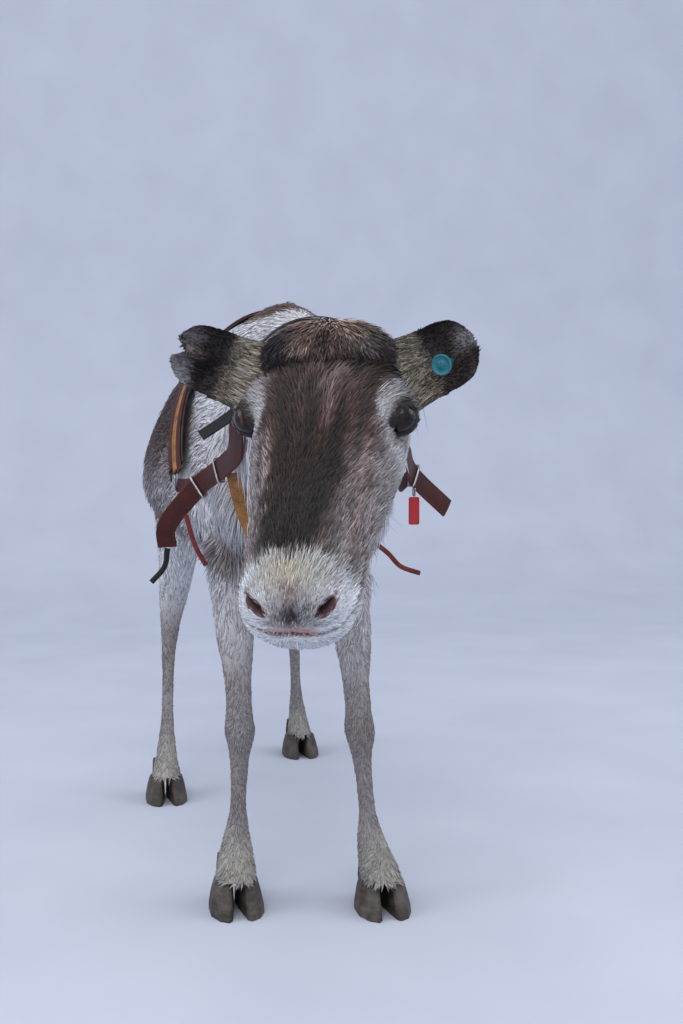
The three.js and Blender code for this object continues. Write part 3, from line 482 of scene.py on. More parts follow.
def closed_mesh(name, grids):
    """Every grid of rings as a closed tube with a point in the middle of each end."""
    points, faces, start = [], [], 0
    for grid in grids:
        index = numbered(grid, start)
        ends = start + index.size
        faces += between(index[:-1], index[1:]).tolist()
        faces += [(ends, b, a) for a, b in zip(index[0], np.roll(index[0], -1))]
        faces += [(ends + 1, a, b) for a, b in zip(index[-1], np.roll(index[-1], -1))]
        points += [grid.reshape(-1, 3), grid[:1].mean(1), grid[-1:].mean(1)]
        start = ends + 2
    return outward(add_mesh(name, placed(np.concatenate(points)), faces))


def vectors_of(items, name):
    flat = np.empty(len(items) * 3, np.float32)
    items.foreach_get(name, flat)
    return flat.reshape(-1, 3).astype(float)


def points_of(mesh):
    return vectors_of(mesh.vertices, "co") * 1000 - stand


def normals_of(mesh):
    return vectors_of(mesh.vertex_normals, "vector")


def set_points(mesh, points):
    mesh.vertices.foreach_set("co", placed(points).astype(np.float32).ravel())
    mesh.update()


skin = closed_mesh("skin", [grid for _, grid in forms])
fuse(skin, 0.0055, 10)

# What part of the body each point of the skin belongs to, and where on that part it is
guide_points = np.concatenate([grid.reshape(-1, 3) for _, grid in forms])
guide_part = np.concatenate([np.full(numbered(grid).size, part) for part, grid in forms])
guide_along = np.concatenate([np.repeat(np.linspace(0, 1, g.shape[0]), g.shape[1]) for _, g in forms])
guide_round = np.concatenate([np.tile(np.arange(g.shape[1]) / g.shape[1], g.shape[0]) for _, g in forms])
guide = kdtree.KDTree(len(guide_points))
for index, point in enumerate(guide_points):
    guide.insert(point, index)
guide.balance()


def parts_at(points):
    nearest = np.array([guide.find(point)[1] for point in points])
    return guide_part[nearest], guide_along[nearest], guide_round[nearest]


def by_part(part, value, *cases):
    """The value, and in its place another one for the points of some parts of the body."""
    for parts, other in cases:
        chosen = np.isin(part, parts)
        value = np.where(chosen[:, None] if np.ndim(value) > 1 else chosen, other, value)
    return value


def slope(value, low, high):
    """0 below low, 1 above high, smooth between."""
    share = np.clip((value - low) / (high - low), 0, 1)
    return share * share * (3 - 2 * share)


def bump(value, width):
    return np.exp(-((value / width) ** 2))


def head_places(points):
    """How far the points are to the left of the head's middle, ahead of the eyes, and up from there."""
    local = to_head(points)
    return local[:, 0], -local[:, 1], local[:, 2]


def coat_depth(points, part):
    """How far the skin lies under the outside of the coat."""
    leg = 2.2 + 5 * slope(points[:, 2], 300, 560)
    face = 6.5 - 4.3 * slope(head_places(points)[1], -60, 60)
    body = np.full(len(points), 11.0)
    return by_part(part, body, (LEGS, leg), (HEAD, face), (NECK, 9), ((CREST, TAIL), 3))


def neighbours_mean(mesh, values, times):
    """Values averaged along the edges, for soft changes from part to part."""
    edge = np.empty(len(mesh.edges) * 2, np.int32)
    mesh.edges.foreach_get("vertices", edge)
    first, second = edge.reshape(-1, 2).T
    count = np.bincount(edge, minlength=len(values)).astype(float)
    values = values.reshape(len(values), -1)
    for _ in range(times):
        total = values.copy()
        for column in range(values.shape[1]):
            total[:, column] += np.bincount(first, values[second, column], len(values))
            total[:, column] += np.bincount(second, values[first, column], len(values))
        values = total / (count[:, None] + 1)
    return values


skin_points = points_of(skin.data)
depth = neighbours_mean(skin.data, coat_depth(skin_points, parts_at(skin_points)[0]), 14)[:, 0]
set_points(skin.data, skin_points - normals_of(skin.data) * depth[:, None])
# The face is worked finer: the mouth line, the lips and the corner pads are pressed into it.
edit(by_face)
for least in (-50, 105):
    edit(nothing)
    middles = np.array([face.center[:] for face in skin.data.polygons]) * 1000 - stand
    out, ahead, up = head_places(middles)
    chosen = (ahead > least) & (ahead < 240) & (np.abs(out) < 90) & (up > -125) & (up < 70)
    skin.data.polygons.foreach_set("select", chosen)
    edit((bpy.ops.mesh.subdivide, {"number_cuts": 1, "smoothness": 0}))


def mouth_height(ahead):
    return -20.2 - 0.1051 * (ahead - 120)


points = points_of(skin.data)
out, ahead, up = head_places(points)
gap = up - mouth_height(ahead)
front = slope(ahead, 112, 150)
push = -3.6 * bump(gap, 1.7) * front
push += 1.6 * (bump(gap - 6, 4) + bump(gap + 6, 4.5)) * front
push -= 2.2 * bump(out, 3.5) * bump(up + 16, 13) * slope(ahead, 205, 218)
push += 2.0 * bump(out, 16) * bump(ahead - 206, 9) * slope(up, -6, 4)
push -= 2.5 * bump(np.abs(out) - 44, 9) * bump(ahead - 60, 26) * bump(up + 4, 12)
push += 1.5 * bump(np.abs(out) - 56, 8) * bump(ahead - 60, 40) * bump(up + 32, 9)
set_points(skin.data, points + normals_of(skin.data) * push[:, None])

# Lids and nostrils: soft rims round the openings of the eyes and the nose, laid over the skin. Each is a
# set of rings from deep inside the opening, over its edge, to where it runs out under the skin.
tree_of_skin = bvhtree.BVHTree.FromPolygons(
    points_of(skin.data).tolist(), [face.vertices[:] for face in skin.data.polygons]
)


def opening(centre, facing, along, halves, plan, sides=56):
    """Rings round an opening: plan gives for each ring its scale, its spread, and its height over the
    skin, or over a ball of the given radius where that isn't 0; the last value lifts its upper side."""
    far = 60
    centre = from_head(centre)
    facing = unit(np.array(facing, float)) @ head_turn.T
    along = np.array(along, float) @ head_turn.T
    along = unit(along - facing * (along @ facing))
    across = np.cross(facing, along)
    angle = np.arange(sides) / sides * 2 * math.pi
    cosine, sine = np.cos(angle), np.sin(angle)
    first = np.where(cosine > 0, halves[0], halves[1]) * cosine
    second = np.where(sine > 0, halves[2], halves[3]) * sine * np.abs(sine) ** 0.25
    outward_way = unit(np.stack([cosine * 0.9, sine], 1))
    grid = []
    for scale, spread, height, ball, upper in plan:
        x = first * scale + outward_way[:, 0] * spread
        y = second * scale + outward_way[:, 1] * spread
        if ball:
            level = np.sqrt(np.maximum(ball**2 - x**2 - y**2, 4)) + height
        else:
            level = []
            for i in range(sides):
                start = centre + x[i] * along + y[i] * across + facing * far
                hit = tree_of_skin.ray_cast(start, -facing)
                level.append(far - hit[3] if hit[0] else level[-1] if level else 0)
            level = np.array(level)
            level = sum(np.roll(level, step) for step in (-2, -1, 0, 1, 2)) / 5
            level = level + height + upper * np.clip(sine, 0, 1)
        grid.append(centre + x[:, None] * along + y[:, None] * across + level[:, None] * facing)
    return np.array(grid), (centre, facing, along, across)


eye_radius = 15.6
lid_plan = [
    (0.84, 0, 0, 15.7, 0),
    (0.92, 0, 0, 16.3, 0),
    (0.97, 0.4, 0, 17.2, 0),
    (1.0, 1.6, 0, 18.2, 0),
    (1.0, 3.2, 0.6, 18.0, 0),
    (1.0, 5.4, 0.5, 0, 0.7),
    (1.0, 8.0, 0.6, 0, 1.3),
    (1.0, 12, 0.3, 0, 1.2),
    (1.0, 17, -0.2, 0, 0.5),
    (1.0, 22, -1.6, 0, -0.6),
]
nostril_plan = [
    (0.25, 0, -15, 0, 0),
    (0.6, 0, -9, 0, 0),
    (0.9, 0, -4, 0, 0),
    (1.0, 0.4, -0.6, 0, 0),
    (1.0, 1.8, 1.3, 0, 0.8),
    (1.0, 4.0, 1.6, 0, 1.2),
    (1.0, 7.5, 0.7, 0, 0.9),
    (1.0, 12, -1.4, 0, -0.2),
]
eye_sink, nostril_sink = 16, 17
eye_places, patches, holes = [], [], []
for side in (-1, 1):
    facing = (side * math.cos(math.radians(30)), -math.sin(math.radians(30)), math.sin(math.radians(16)))
    halves = (18.5, 13.5, 13.5, 8.5) if side < 0 else (18.5, 13.5, 8.5, 13.5)
    plan = lid_plan if side < 0 else [(s, p, h + u, b, -u) for s, p, h, b, u in lid_plan]
    grid, axes = opening((side * 68.5, 0, 5.5), facing, (0, -1, -0.34), halves, plan)
    patches.append(grid)
    eye_places.append(axes[:3])
    holes.append((axes, halves, eye_sink))
    facing, slant = (side * 0.42, -0.86, 0.28), (side * -0.75, -0.25, -0.62)
    grid, axes = opening((side * 26, -213, -9), facing, slant, (9, 9.5, 2.9, 3.1), nostril_plan)
    patches.append(grid)
    holes.append((axes, (9.5, 10, 4.0, 4.0), nostril_sink))


def at_opening(points, hole):
    """Places by an opening: along, across and out of it, the share of its reach, and the distance."""
    (middle, look, along, across), halves, _ = hole
    offset = points - middle
    x, y = offset @ along, offset @ across
    reach = np.hypot(x / np.where(x > 0, halves[0], halves[1]), y / np.where(y > 0, halves[2], halves[3]))
    return x, y, offset @ look, reach, np.linalg.norm(offset, axis=1)


points = points_of(skin.data)
for hole in holes:
    (_, look, _, _), _, sink = hole
    _, _, z, reach, _ = at_opening(points, hole)
    inside = (1 - slope(reach, 0.95, 1.3)) * (z > -22) * (z < 40)
    points -= look * (inside * (sink + np.maximum(z, 0)))[:, None]
set_points(skin.data, points)

# Ears: thin leaves rolled into cups that face forward. They grow from the
# head behind the crest. The tip of the right one is cut, which parts it into two round lobes.
# Ear rows are the place along the ear, half width, reach to the back and reach to the front
ear_rows = [
    (-14, 34, 24, 24),
    (0, 38, 26, 26),
    (18, 36, 25, 22),
    (34, 34, 24, 6),
    (50, 33, 22, -14),
    (66, 32, 19, -15),
    (80, 29, 14.5, -11.5),
    (90, 22, 9, -6.5),
    (97, 11, 4, -1.5),
]
ear_roots = {-1: (-72, 80, -18), 1: (53, 80, -18)}


def ear_grid(side, sides=56):
    """The rings of an ear, with its root, the way along it and the way out of its cup."""
    axis = unit(np.array([side * 0.8, -0.06, 0.5]))
    toward = np.array([side * -0.33, -0.83, 0.45])
    facing = unit(toward - axis * (toward @ axis))
    across = np.cross(axis, facing)
    angle = np.arange(sides) / sides * 2 * math.pi
    cosine, sine = np.cos(angle), np.sin(angle)
    grid = []
    for along, wide, back, front in through(ear_rows, 5):
        x = wide * cosine
        depth = np.abs(sine) ** (0.75 if front < 0 else 1)
        y = np.where(sine >= 0, front * depth + 1.2 * sine, back * sine)
        place = np.full(sides, along)
        if side < 0:
            tip = 64 + 33 * slope(np.abs(x - 1), 0.5, 10)
            place = np.where(along > 30, 30 + (along - 30) * (tip - 30) / 67, along)
        grid.append(ear_roots[side] + place[:, None] * axis + x[:, None] * across + y[:, None] * facing)
    return from_head(np.array(grid)), from_head(ear_roots[side]), axis @ head_turn.T, facing @ head_turn.T


ears = {side: ear_grid(side) for side in (-1, 1)}
ear_skin = closed_mesh("ear_skin", [ears[-1][0], ears[1][0]])
points, faces = stacked(patches, (0, 3, 2, 1))
rims = add_mesh("rims", placed(points), faces)
body_count = len(skin.data.vertices)
only(ear_skin, rims, skin)
bpy.ops.object.join()
bpy.ops.object.shade_smooth()
skin_points, skin_normals = points_of(skin.data), normals_of(skin.data)
added = np.arange(len(skin_points)) >= body_count
in_ear = added & (to_head(skin_points)[:, 1] > 20)
skin_part = np.where(in_ear, EAR, np.where(added, RIM, parts_at(skin_points)[0]))

# Markings: one rule for the colour of the skin and of every tuft, by place on the body. The colours are
# screen values from 0 to 255, and each one is laid over those before it by a share between 0 and 1.
bridge, forehead, cheek = (37, 23, 21), (62, 42, 38), (136, 130, 130)
pale, frost, lip = (178, 177, 181), (184, 184, 187), (176, 92, 86)


def toned(base, colour, share):
    return base + (np.array(colour, float) - base) * np.clip(share, 0, 1)[:, None]


def painted(tone, *coats):
    """A first colour with others laid over it, each to its share."""
    tone = np.array(tone, float)
    for colour, share in coats:
        tone = toned(tone, colour, share)
    return tone


def waves(points, scale, seed):
    """Soft, uneven change from place to place, about -1 to 1."""
    draw = np.random.default_rng(seed)
    total = np.zeros(len(points))
    for step in range(7):
        turn = unit(draw.normal(size=3))
        total += np.sin(points @ turn / scale * (0.7 + 0.16 * step) + draw.uniform(0, 6.28)) / 3
    return total


def ear_places(points):
    """For every point its way along its ear, out of the cup's front, and above the ear's middle line."""
    along, front, wide = np.zeros((3, len(points)))
    for side, (_, root, axis, facing) in ears.items():
        offset = points - root
        chosen = (to_head(points)[:, 0] > 0) == (side > 0)
        along = np.where(chosen, offset @ axis, along)
        front = np.where(chosen, offset @ facing, front)
        wide = np.where(chosen, -side * (offset @ np.cross(axis, facing)), wide)
    return along, front, wide


def markings(points, part):
    _, y, z = points.T
    local = to_head(points)
    out, ahead, up = head_places(points)
    wave = waves(points, 38, 1) * 0.5 + waves(points, 14, 2) * 0.35
    fine = waves(points, 5, 3)
    height = z + 16 * wave
    # Barrel: a brown band on the back, white shoulders, grey flanks, dark lower edge
    shoulder = y + 50 * wave - 0.9 * np.clip(z - 760, 0, 150)
    body = painted(
        (78, 62, 58),
        ((200, 196, 200), (1 - slope(height, 620, 740)) * 0.85),
        ((92, 74, 68), slope(y + 40 * wave, 150, 330) * slope(height, 800, 900) * 0.8),
        ((222, 221, 226), 1 - slope(shoulder, 100, 240)),
        ((102, 82, 74), slope(z + 4 * wave, 896, 910) * slope(y + 20 * wave, -30, 30)),
        ((112, 96, 91), slope(y, 180, 420) * bump(height - 585, 36) * 0.8),
        ((196, 193, 197), (1 - slope(height, 515, 560)) * 0.7),
        ((200, 197, 198), slope(y, 810, 900) * 0.8),
    )
    neck = painted(
        (226, 225, 229),
        ((168, 160, 158), slope(height, 800, 850) * 0.5),
        ((176, 171, 171), slope(wave, 0.2, 0.9) * 0.5),
    )
    hind = np.isin(part, (HIND_RIGHT, HIND_LEFT))
    leg = painted(
        (160, 154, 154),
        ((208, 206, 209), slope(z, 300, 400)),
        ((138, 125, 120), (0.4 + 0.7 * wave) * bump(z - 290, 150) * 0.6),
        ((230, 229, 234), slope(z, 430, 600)),
        ((240, 240, 246), hind * slope(z, 330, 480)),
        ((178, 173, 166), 1 - slope(z, 70, 150)),
    )
    leg = leg + (body - leg) * slope(z + 30 * wave, 540, 670)[:, None]
    # Lower chest between the forelegs: brownish hair, with painted shade under the chest laid over it
    brisket_hair_and_shade = bump(z - 552 + 10 * wave, 26) * (1 - slope(y, 40, 90)) * slope(y, -150, -110)
    body, neck, leg = [toned(tone, (112, 99, 96), 0.75 * brisket_hair_and_shade) for tone in (body, neck, leg)]
    # Head: dark bridge, brown forehead, pale rings at the eyes, frosted nose, white lips
    apart = np.abs(out)
    middle = np.abs(out + 3)
    gap = up - mouth_height(ahead)
    crown = (1 - slope(apart + 5 * fine, 42, 58)) * slope(up + ahead * 0.12, -6, 14)
    streaks = waves(local * (1, 0.2, 1), 3.0, 4)
    light = bump(out - 6 - 5 * wave, 20) * (1 - slope(ahead, 30, 74)) * slope(ahead + 44, 4, 16)
    sides = slope(middle + 3 * fine, 24, 36) * slope(ahead, 30, 80) * (1 - slope(ahead, 165, 190))
    strip = (1 - slope(middle + 4 * fine, 16, 36)) * slope(ahead + 10 * fine, 10, 80)
    darkest = bump(ahead - 146 + 0.5 * middle, 26) * (1 - slope(middle + 4 * fine, 16, 38))
    head = painted(
        cheek,
        ((168, 167, 172), slope(-up, 20, 70) * 0.8),
        (forehead, crown * (1 - slope(ahead, 150, 185))),
        ((98, 85, 81), crown * light * (0.55 + 0.5 * streaks)),
        ((150, 142, 144), sides * (1 - 0.35 * slope(out, -10, 10)) * 0.85),
        (bridge, strip * (1 - slope(ahead, 176, 188))),
        ((28, 22, 22), darkest * 0.9),
    )
    head = head * (1 + 0.28 * streaks * crown)[:, None]
    brow = bump(apart - (56 - 0.10 * np.clip(ahead, 0, 60)), 9)
    brow = brow * slope(ahead + 6 * fine, -46, -30) * (1 - slope(ahead, 16, 38)) * slope(up, -8, 10)
    around = bump(np.hypot(ahead - 4, up + 20) - 28, 16) * (1 - slope(up, 6, 26))
    frost_edge = ahead + 5 * fine + 3 * wave - 13 * (out / 38) ** 2 - 5 * bump(out + 5, 5)
    patch = slope(frost_edge, 174, 184) * (1 - slope(apart + 2 * fine, 38, 45))
    muzzle = slope(ahead, 176, 196) * slope(-up + 0.3 * apart + 2 * fine, 4, 16)
    pad = slope(ahead, 214, 220) * (1 - slope(apart, 17, 25)) * slope(gap, 3, 8) * (1 - slope(up, -9, -3))
    smear = slope(ahead, 206, 214) * bump(out - 8 + 3 * fine, 15) * bump(up + 12 + 1.5 * fine, 8)
    spot = slope(ahead, 208, 216) * bump(out + 1 + 2 * fine, 9.5) * bump(up + 16 + 1.5 * fine, 6.5)
    mouth = bump(gap, 1.6) * slope(ahead, 150, 190) * (1 - 0.6 * slope(apart, 24, 36))
    # A near-black line on the forehead under the crest's front edge: dark hair, with painted shadow of the
    # crest's overhang
    crest_shadow_line = bump(ahead + 43, 10) * (1 - slope(np.abs(out + 12), 50, 66)) * slope(up, 20, 30)
    head = painted(
        head,
        (pale, brow),
        ((220, 220, 226), slope(apart, 48, 58) * around * 0.85),
        (frost, patch),
        ((186, 178, 158), patch * bump(out + 4, 22) * bump(ahead - 198, 12) * 0.85),
        ((216, 219, 228), muzzle),
        ((158, 160, 166), bump(out - 30, 12) * bump(ahead - 150, 40) * 0.3),
        ((158, 150, 152), pad * 0.7),
        ((128, 108, 104), bump(out + 1, 10) * bump(ahead - 214, 7) * slope(up, -14, -6) * 0.8),
        ((112, 114, 120), smear * 0.8),
        ((36, 32, 35), spot),
        (lip, slope(ahead, 200, 215) * (1 - slope(apart, 10, 24)) * bump(gap - 2.5, 3.4) * 0.95),
        ((74, 44, 44), mouth),
        ((26, 22, 22), crest_shadow_line * 0.9),
    )
    # Crest: brown and streaked, black at both ends; along its foot dark hair with painted shade under the
    # overhang
    crest = painted(
        (108, 90, 84),
        ((150, 138, 132), slope(wave + 0.6 * fine, 0.1, 0.9) * 0.8),
        ((70, 66, 66), slope(out + 4 * fine, 8, 30) * 0.7),
        ((50, 45, 47), 1 - slope(out + 4 * fine, -42, -20)),
        ((34, 29, 29), bump(out - 52, 8) * bump(up - 30, 16) * 0.9),
    )
    crest = crest * (1 + 0.24 * waves(local * (1, 0.5, 0.2), 2.6, 5))[:, None]
    # Lower front of the crest: dark hair, with painted shade under its overhang
    crest = toned(crest, (22, 18, 18), slope(-up + 2 * fine, -47, -31) * slope(ahead, -80, -62))
    # Ears: pale olive foot, dark brown rim, grey-mauve inside
    along, depth, wide = ear_places(points)
    mine_right = out < 0
    cup = slope(along, 38, 52)
    tip = slope(along + 3 * fine, 62, 78)
    ear = painted(
        (150, 142, 131),
        ((116, 103, 88), bump(along - 34, 14) * 0.5 + (1 - slope(along, 4, 22)) * 0.5 + 0.25 * fine),
        ((120, 112, 116), cup * 0.95),
        ((50, 38, 37), cup * bump(depth + 12, 8) * 0.8 + cup * slope(-fine, 0.2, 1.0) * 0.5),
        ((28, 21, 21), cup * (1 - slope(along + 3 * fine, 56, 80)) * (0.55 + 0.35 * mine_right)),
        ((40, 31, 32), slope(np.abs(wide) + 1.5 * fine, 26, 30) * slope(along, 38, 54)),
        ((40, 31, 32), slope(along + 1.5 * fine, 84, 90)),
        ((168, 167, 173), mine_right * tip * slope(-wide, 3, 9) * 0.85),
        ((138, 133, 137), mine_right * tip * bump(wide - 15, 9) * 0.9),
        ((156, 153, 158), ~mine_right * tip * bump(wide - 8 + 2 * fine, 10) * 0.85),
    )
    tail = toned(body, (205, 204, 206), np.full(len(points), 0.7))
    cases = (NECK, neck), (LEGS, leg), ((HEAD, RIM), head), (CREST, crest), (EAR, ear), (TAIL, tail)
    return by_part(part, body, *cases)


def lid_shadow(points, tone):
    """The bare dark edge of the lids and the inside of the nostrils."""
    for hole in holes:
        x, y, _, reach, away = at_opening(points, hole)
        is_eye = hole[2] == eye_sink
        edge = (1 - slope(reach, 1.12, 1.42)) * (away < 34)
        tone = toned(tone, (26, 20, 20) if is_eye else (88, 56, 60), edge)
        if is_eye:
            tone = toned(tone, (38, 28, 26), bump(x - 21, 10) * bump(y + 1, 7) * (away < 34))
    return tone


def colour_points(mesh, tone):
    """Keeps a colour for every point, for the material to read."""
    colour = np.column_stack([linear(*tone.T).T, np.ones(len(tone))])
    layer = mesh.color_attributes.new("Coat", "FLOAT_COLOR", "POINT")
    layer.data.foreach_set("color", colour.astype(np.float32).ravel())


def dress(piece, material, slot, *nodes):
    """Gives a piece its material, its body and the solids that it stands for; the slot is not used."""
    piece.data.materials.clear()
    piece.data.materials.append(material)
    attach(piece, "root")
    if nodes:
        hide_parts(*nodes)
    return piece


skin_tone = lid_shadow(skin_points, markings(skin_points, skin_part))
soft_tone = neighbours_mean(skin.data, skin_tone, 3)
colour_points(skin.data, by_part(skin_part, soft_tone, ((HEAD, RIM, EAR), skin_tone)))

hide, hide_paint = new_material("hide", Roughness=0.75)
tint = hide_paint.node("ShaderNodeAttribute", attribute_name="Coat")
streak = hide_paint.place().noise(420, 4, 0.7)
feed(hide, Base_Color=tint.times(0.55, streak.ramp((0.3, grey(0.25)), (0.7, grey(0.9)))))
feed(hide, Normal=streak.relief(0.5, 0.001))
body_names = ("torso", "neck", "head", "tail", "ear_left", "ear_right")
skin_nodes = [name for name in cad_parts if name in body_names]
leg_nodes = [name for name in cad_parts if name.endswith(("_upper", "_lower"))]
dress(skin, hide, None, *skin_nodes, *leg_nodes)

# Eyes: dark brown balls with a round dark pupil under a clear wet surface. They are set in the lids of the
# skin, and swell out a little in front.
eye_wet, eye_paint = new_material("eye_wet", Roughness=0.07, Specular_IOR_Level=0.26)
spot = eye_paint.along("Iris")
level = spot.axis(1)
distance = spot.axis(0) * spot.axis(0) + level * level
eye_colour = distance.ramp(
    (0.0, shade(8, 6, 7)),
    (0.16, shade(12, 8, 8)),
    (0.34, shade(34, 22, 18)),
    (0.6, shade(24, 16, 14)),
    (0.95, shade(10, 8, 9)),
)
# A paler brown crescent on one side of the iris: painted light
painted_iris_light = (1 - (distance - 0.3).size() * 7).clamp() * (level * 2.5 - 0.2).clamp()
eye_colour = (painted_iris_light * 0.8).mix(eye_colour, shade(104, 70, 60))
fibres = spot.scaled(2, 2, 2).noise(18, 4, 0.6)
feed(eye_wet, Base_Color=(fibres * 0.6).mix(eye_colour, shade(10, 7, 8)))


def just_made(name):
    """The piece that the last operator made, under its name."""
    piece = bpy.context.object
    piece.name = piece.data.name = name
    return piece


def settle(piece, turn, centre, points=None):
    """Puts a piece made at the origin in its place, within its own mesh."""
    if points is None:
        points = vectors_of(piece.data.vertices, "co") * 1000
    set_points(piece.data, points @ np.array(turn, float) + np.array(centre, float))


for (middle, look, along), name in zip(eye_places, ("eye_right", "eye_left")):
    bpy.ops.mesh.primitive_uv_sphere_add(segments=48, ring_count=32, radius=eye_radius / 1000)
    ball = just_made(name + "_ball")
    bpy.ops.object.shade_smooth()
    points = vectors_of(ball.data.vertices, "co") * 1000
    swell = 1.2 * slope(points[:, 2], 9, 15)
    basis = [along, np.cross(look, along), look]
    settle(ball, basis, middle, points * (1 + swell / eye_radius)[:, None])
    layer = ball.data.uv_layers.new(name="Iris")
    for loop in ball.data.loops:
        layer.data[loop.index].uv = points[loop.vertex_index][:2] / eye_radius
    dress(ball, eye_wet, "eye", name)

# Coat: winter hair as many thin, tapering tufts rooted in the skin and lying along the body, short on the
# face and feet, long on the barrel, longest under the throat. They carry the colours of the skin, and lie
# flat where a strap of the harness presses them.
harness_names = ("collar", "throat_loop", "neck_strap", "saddle", "side_strap")
strap_names = [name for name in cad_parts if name.startswith(harness_names) and "tag" not in name]
strap_points, strap_faces = [], []
for node in [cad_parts[name] for name in strap_names]:
    start = len(strap_points)
    strap_points += [tuple(point) for point in points_of(node.data)]
    strap_faces += [tuple(start + i for i in face.vertices) for face in node.data.polygons]
strap_tree = bvhtree.BVHTree.FromPolygons(strap_points, strap_faces)


def lie(points, part):
    """The way in which the hair lies, before it is laid flat on the skin."""
    out, ahead, up = head_places(points)
    chest = 1 - slope(points[:, 1], -60, 60)
    spread = (out + 3) / 75 * (0.55 + 1.3 * slope(-ahead, -90, 10))
    back = columns((spread, 1, -0.55 * slope(-up, 0, 60)))
    fan = columns(((out + 8) / 62 * 0.55, -0.75, -0.8))
    way = by_part(
        part,
        columns((0, 1 - 0.8 * chest, -0.45 - 0.75 * chest)),
        (NECK, (0, 0.62, -0.8)),
        ((*LEGS, TAIL), (0, 0.2, -1)),
        ((HEAD, RIM), back @ head_turn.T),
        (CREST, fan @ head_turn.T),
    )
    for side, (_, _, axis, _) in ears.items():
        way = np.where(((part == EAR) & (np.sign(out) == side))[:, None], axis, way)
    return unit(way)


def lie_flat(way, normal):
    return unit(way - normal * (way * normal).sum(1, keepdims=True))


skin_lie = neighbours_mean(skin.data, lie_flat(lie(skin_points, skin_part), skin_normals), 6)
skin_lie = lie_flat(skin_lie, skin_normals)


def coat_measures(points, part, round_):
    """Length, width and lift of the tufts, in millimetres and degrees."""
    _, y, z = points.T
    out, ahead, up = head_places(points)
    under = slope(-np.sin(2 * math.pi * round_), -0.15, 0.8) * slope(-y, 70, 190) * (1 - slope(-y, 560, 650))
    crown = 1 - slope(ahead, -10, 120)
    jaw = slope(-up, 50, 100) * (1 - slope(ahead, 60, 160))
    face = 15 + 11 * crown + 9 * jaw - 4 * slope(ahead, 186, 200) - 3.5 * slope(ahead, 200, 212)
    along, _, wide = ear_places(points)
    brim = np.maximum(slope(np.abs(wide), 20, 27), slope(along, 76, 86)) * slope(along, 38, 54)
    length = by_part(
        part,
        38 + 10 * (1 - slope(z, 520, 640)) - 4 * slope(z, 860, 930),
        (NECK, 46 + 56 * under),
        (LEGS, 10.5 + 26 * slope(z, 330, 620) + 5 * (1 - slope(z, 50, 110))),
        (HEAD, face - 4 * crown * slope(np.abs(out), 40, 60)),
        (RIM, 7.5),
        (EAR, 17 - 10 * slope(along, 22, 50) - 2.6 * brim),
        (TAIL, 52),
        (CREST, 26),
    )
    width = by_part(
        part,
        np.full(len(points), 4.1),
        (NECK, 4.0 + 1.6 * under),
        (LEGS, 2.6 + 3.2 * slope(z, 380, 620)),
        ((HEAD, RIM), 1.6 + 0.2 * crown),
        (EAR, 2.4 - 0.9 * slope(along, 22, 50)),
        (CREST, 2.4),
    )
    lift = by_part(
        part,
        13 + 10 * (1 - slope(z, 545, 600)),
        (NECK, 15 + 7 * under),
        (LEGS, 13 + 6 * slope(z, 480, 540)),
        (HEAD, 15 + 3 * slope(ahead, 160, 180) - 7 * slope(ahead, 196, 212)),
        (RIM, 21),
        (EAR, 14 - 6 * brim),
        (CREST, 11 - 6 * slope(up, 36, 50)),
    )
    return length, width, lift


flat = np.empty(len(skin.data.loop_triangles) * 3, np.int32)
skin.data.loop_triangles.foreach_get("vertices", flat)
skin_faces = flat.reshape(-1, 3)
corners = skin_points[skin_faces]
face_area = np.linalg.norm(np.cross(corners[:, 1] - corners[:, 0], corners[:, 2] - corners[:, 0]), axis=1) / 2
face_part = skin_part[skin_faces[:, 0]]
face_middle = corners.mean(1)


def bare(points):
    """True for points in an eye's or nostril's opening, or in the line of the mouth."""
    _, ahead, up = head_places(points)
    found = (ahead > 150) & (np.abs(up - mouth_height(ahead)) <= 1.6)
    for hole in holes:
        _, _, _, reach, away = at_opening(points, hole)
        found |= (away < 40) & (reach < 1.16)
    return found


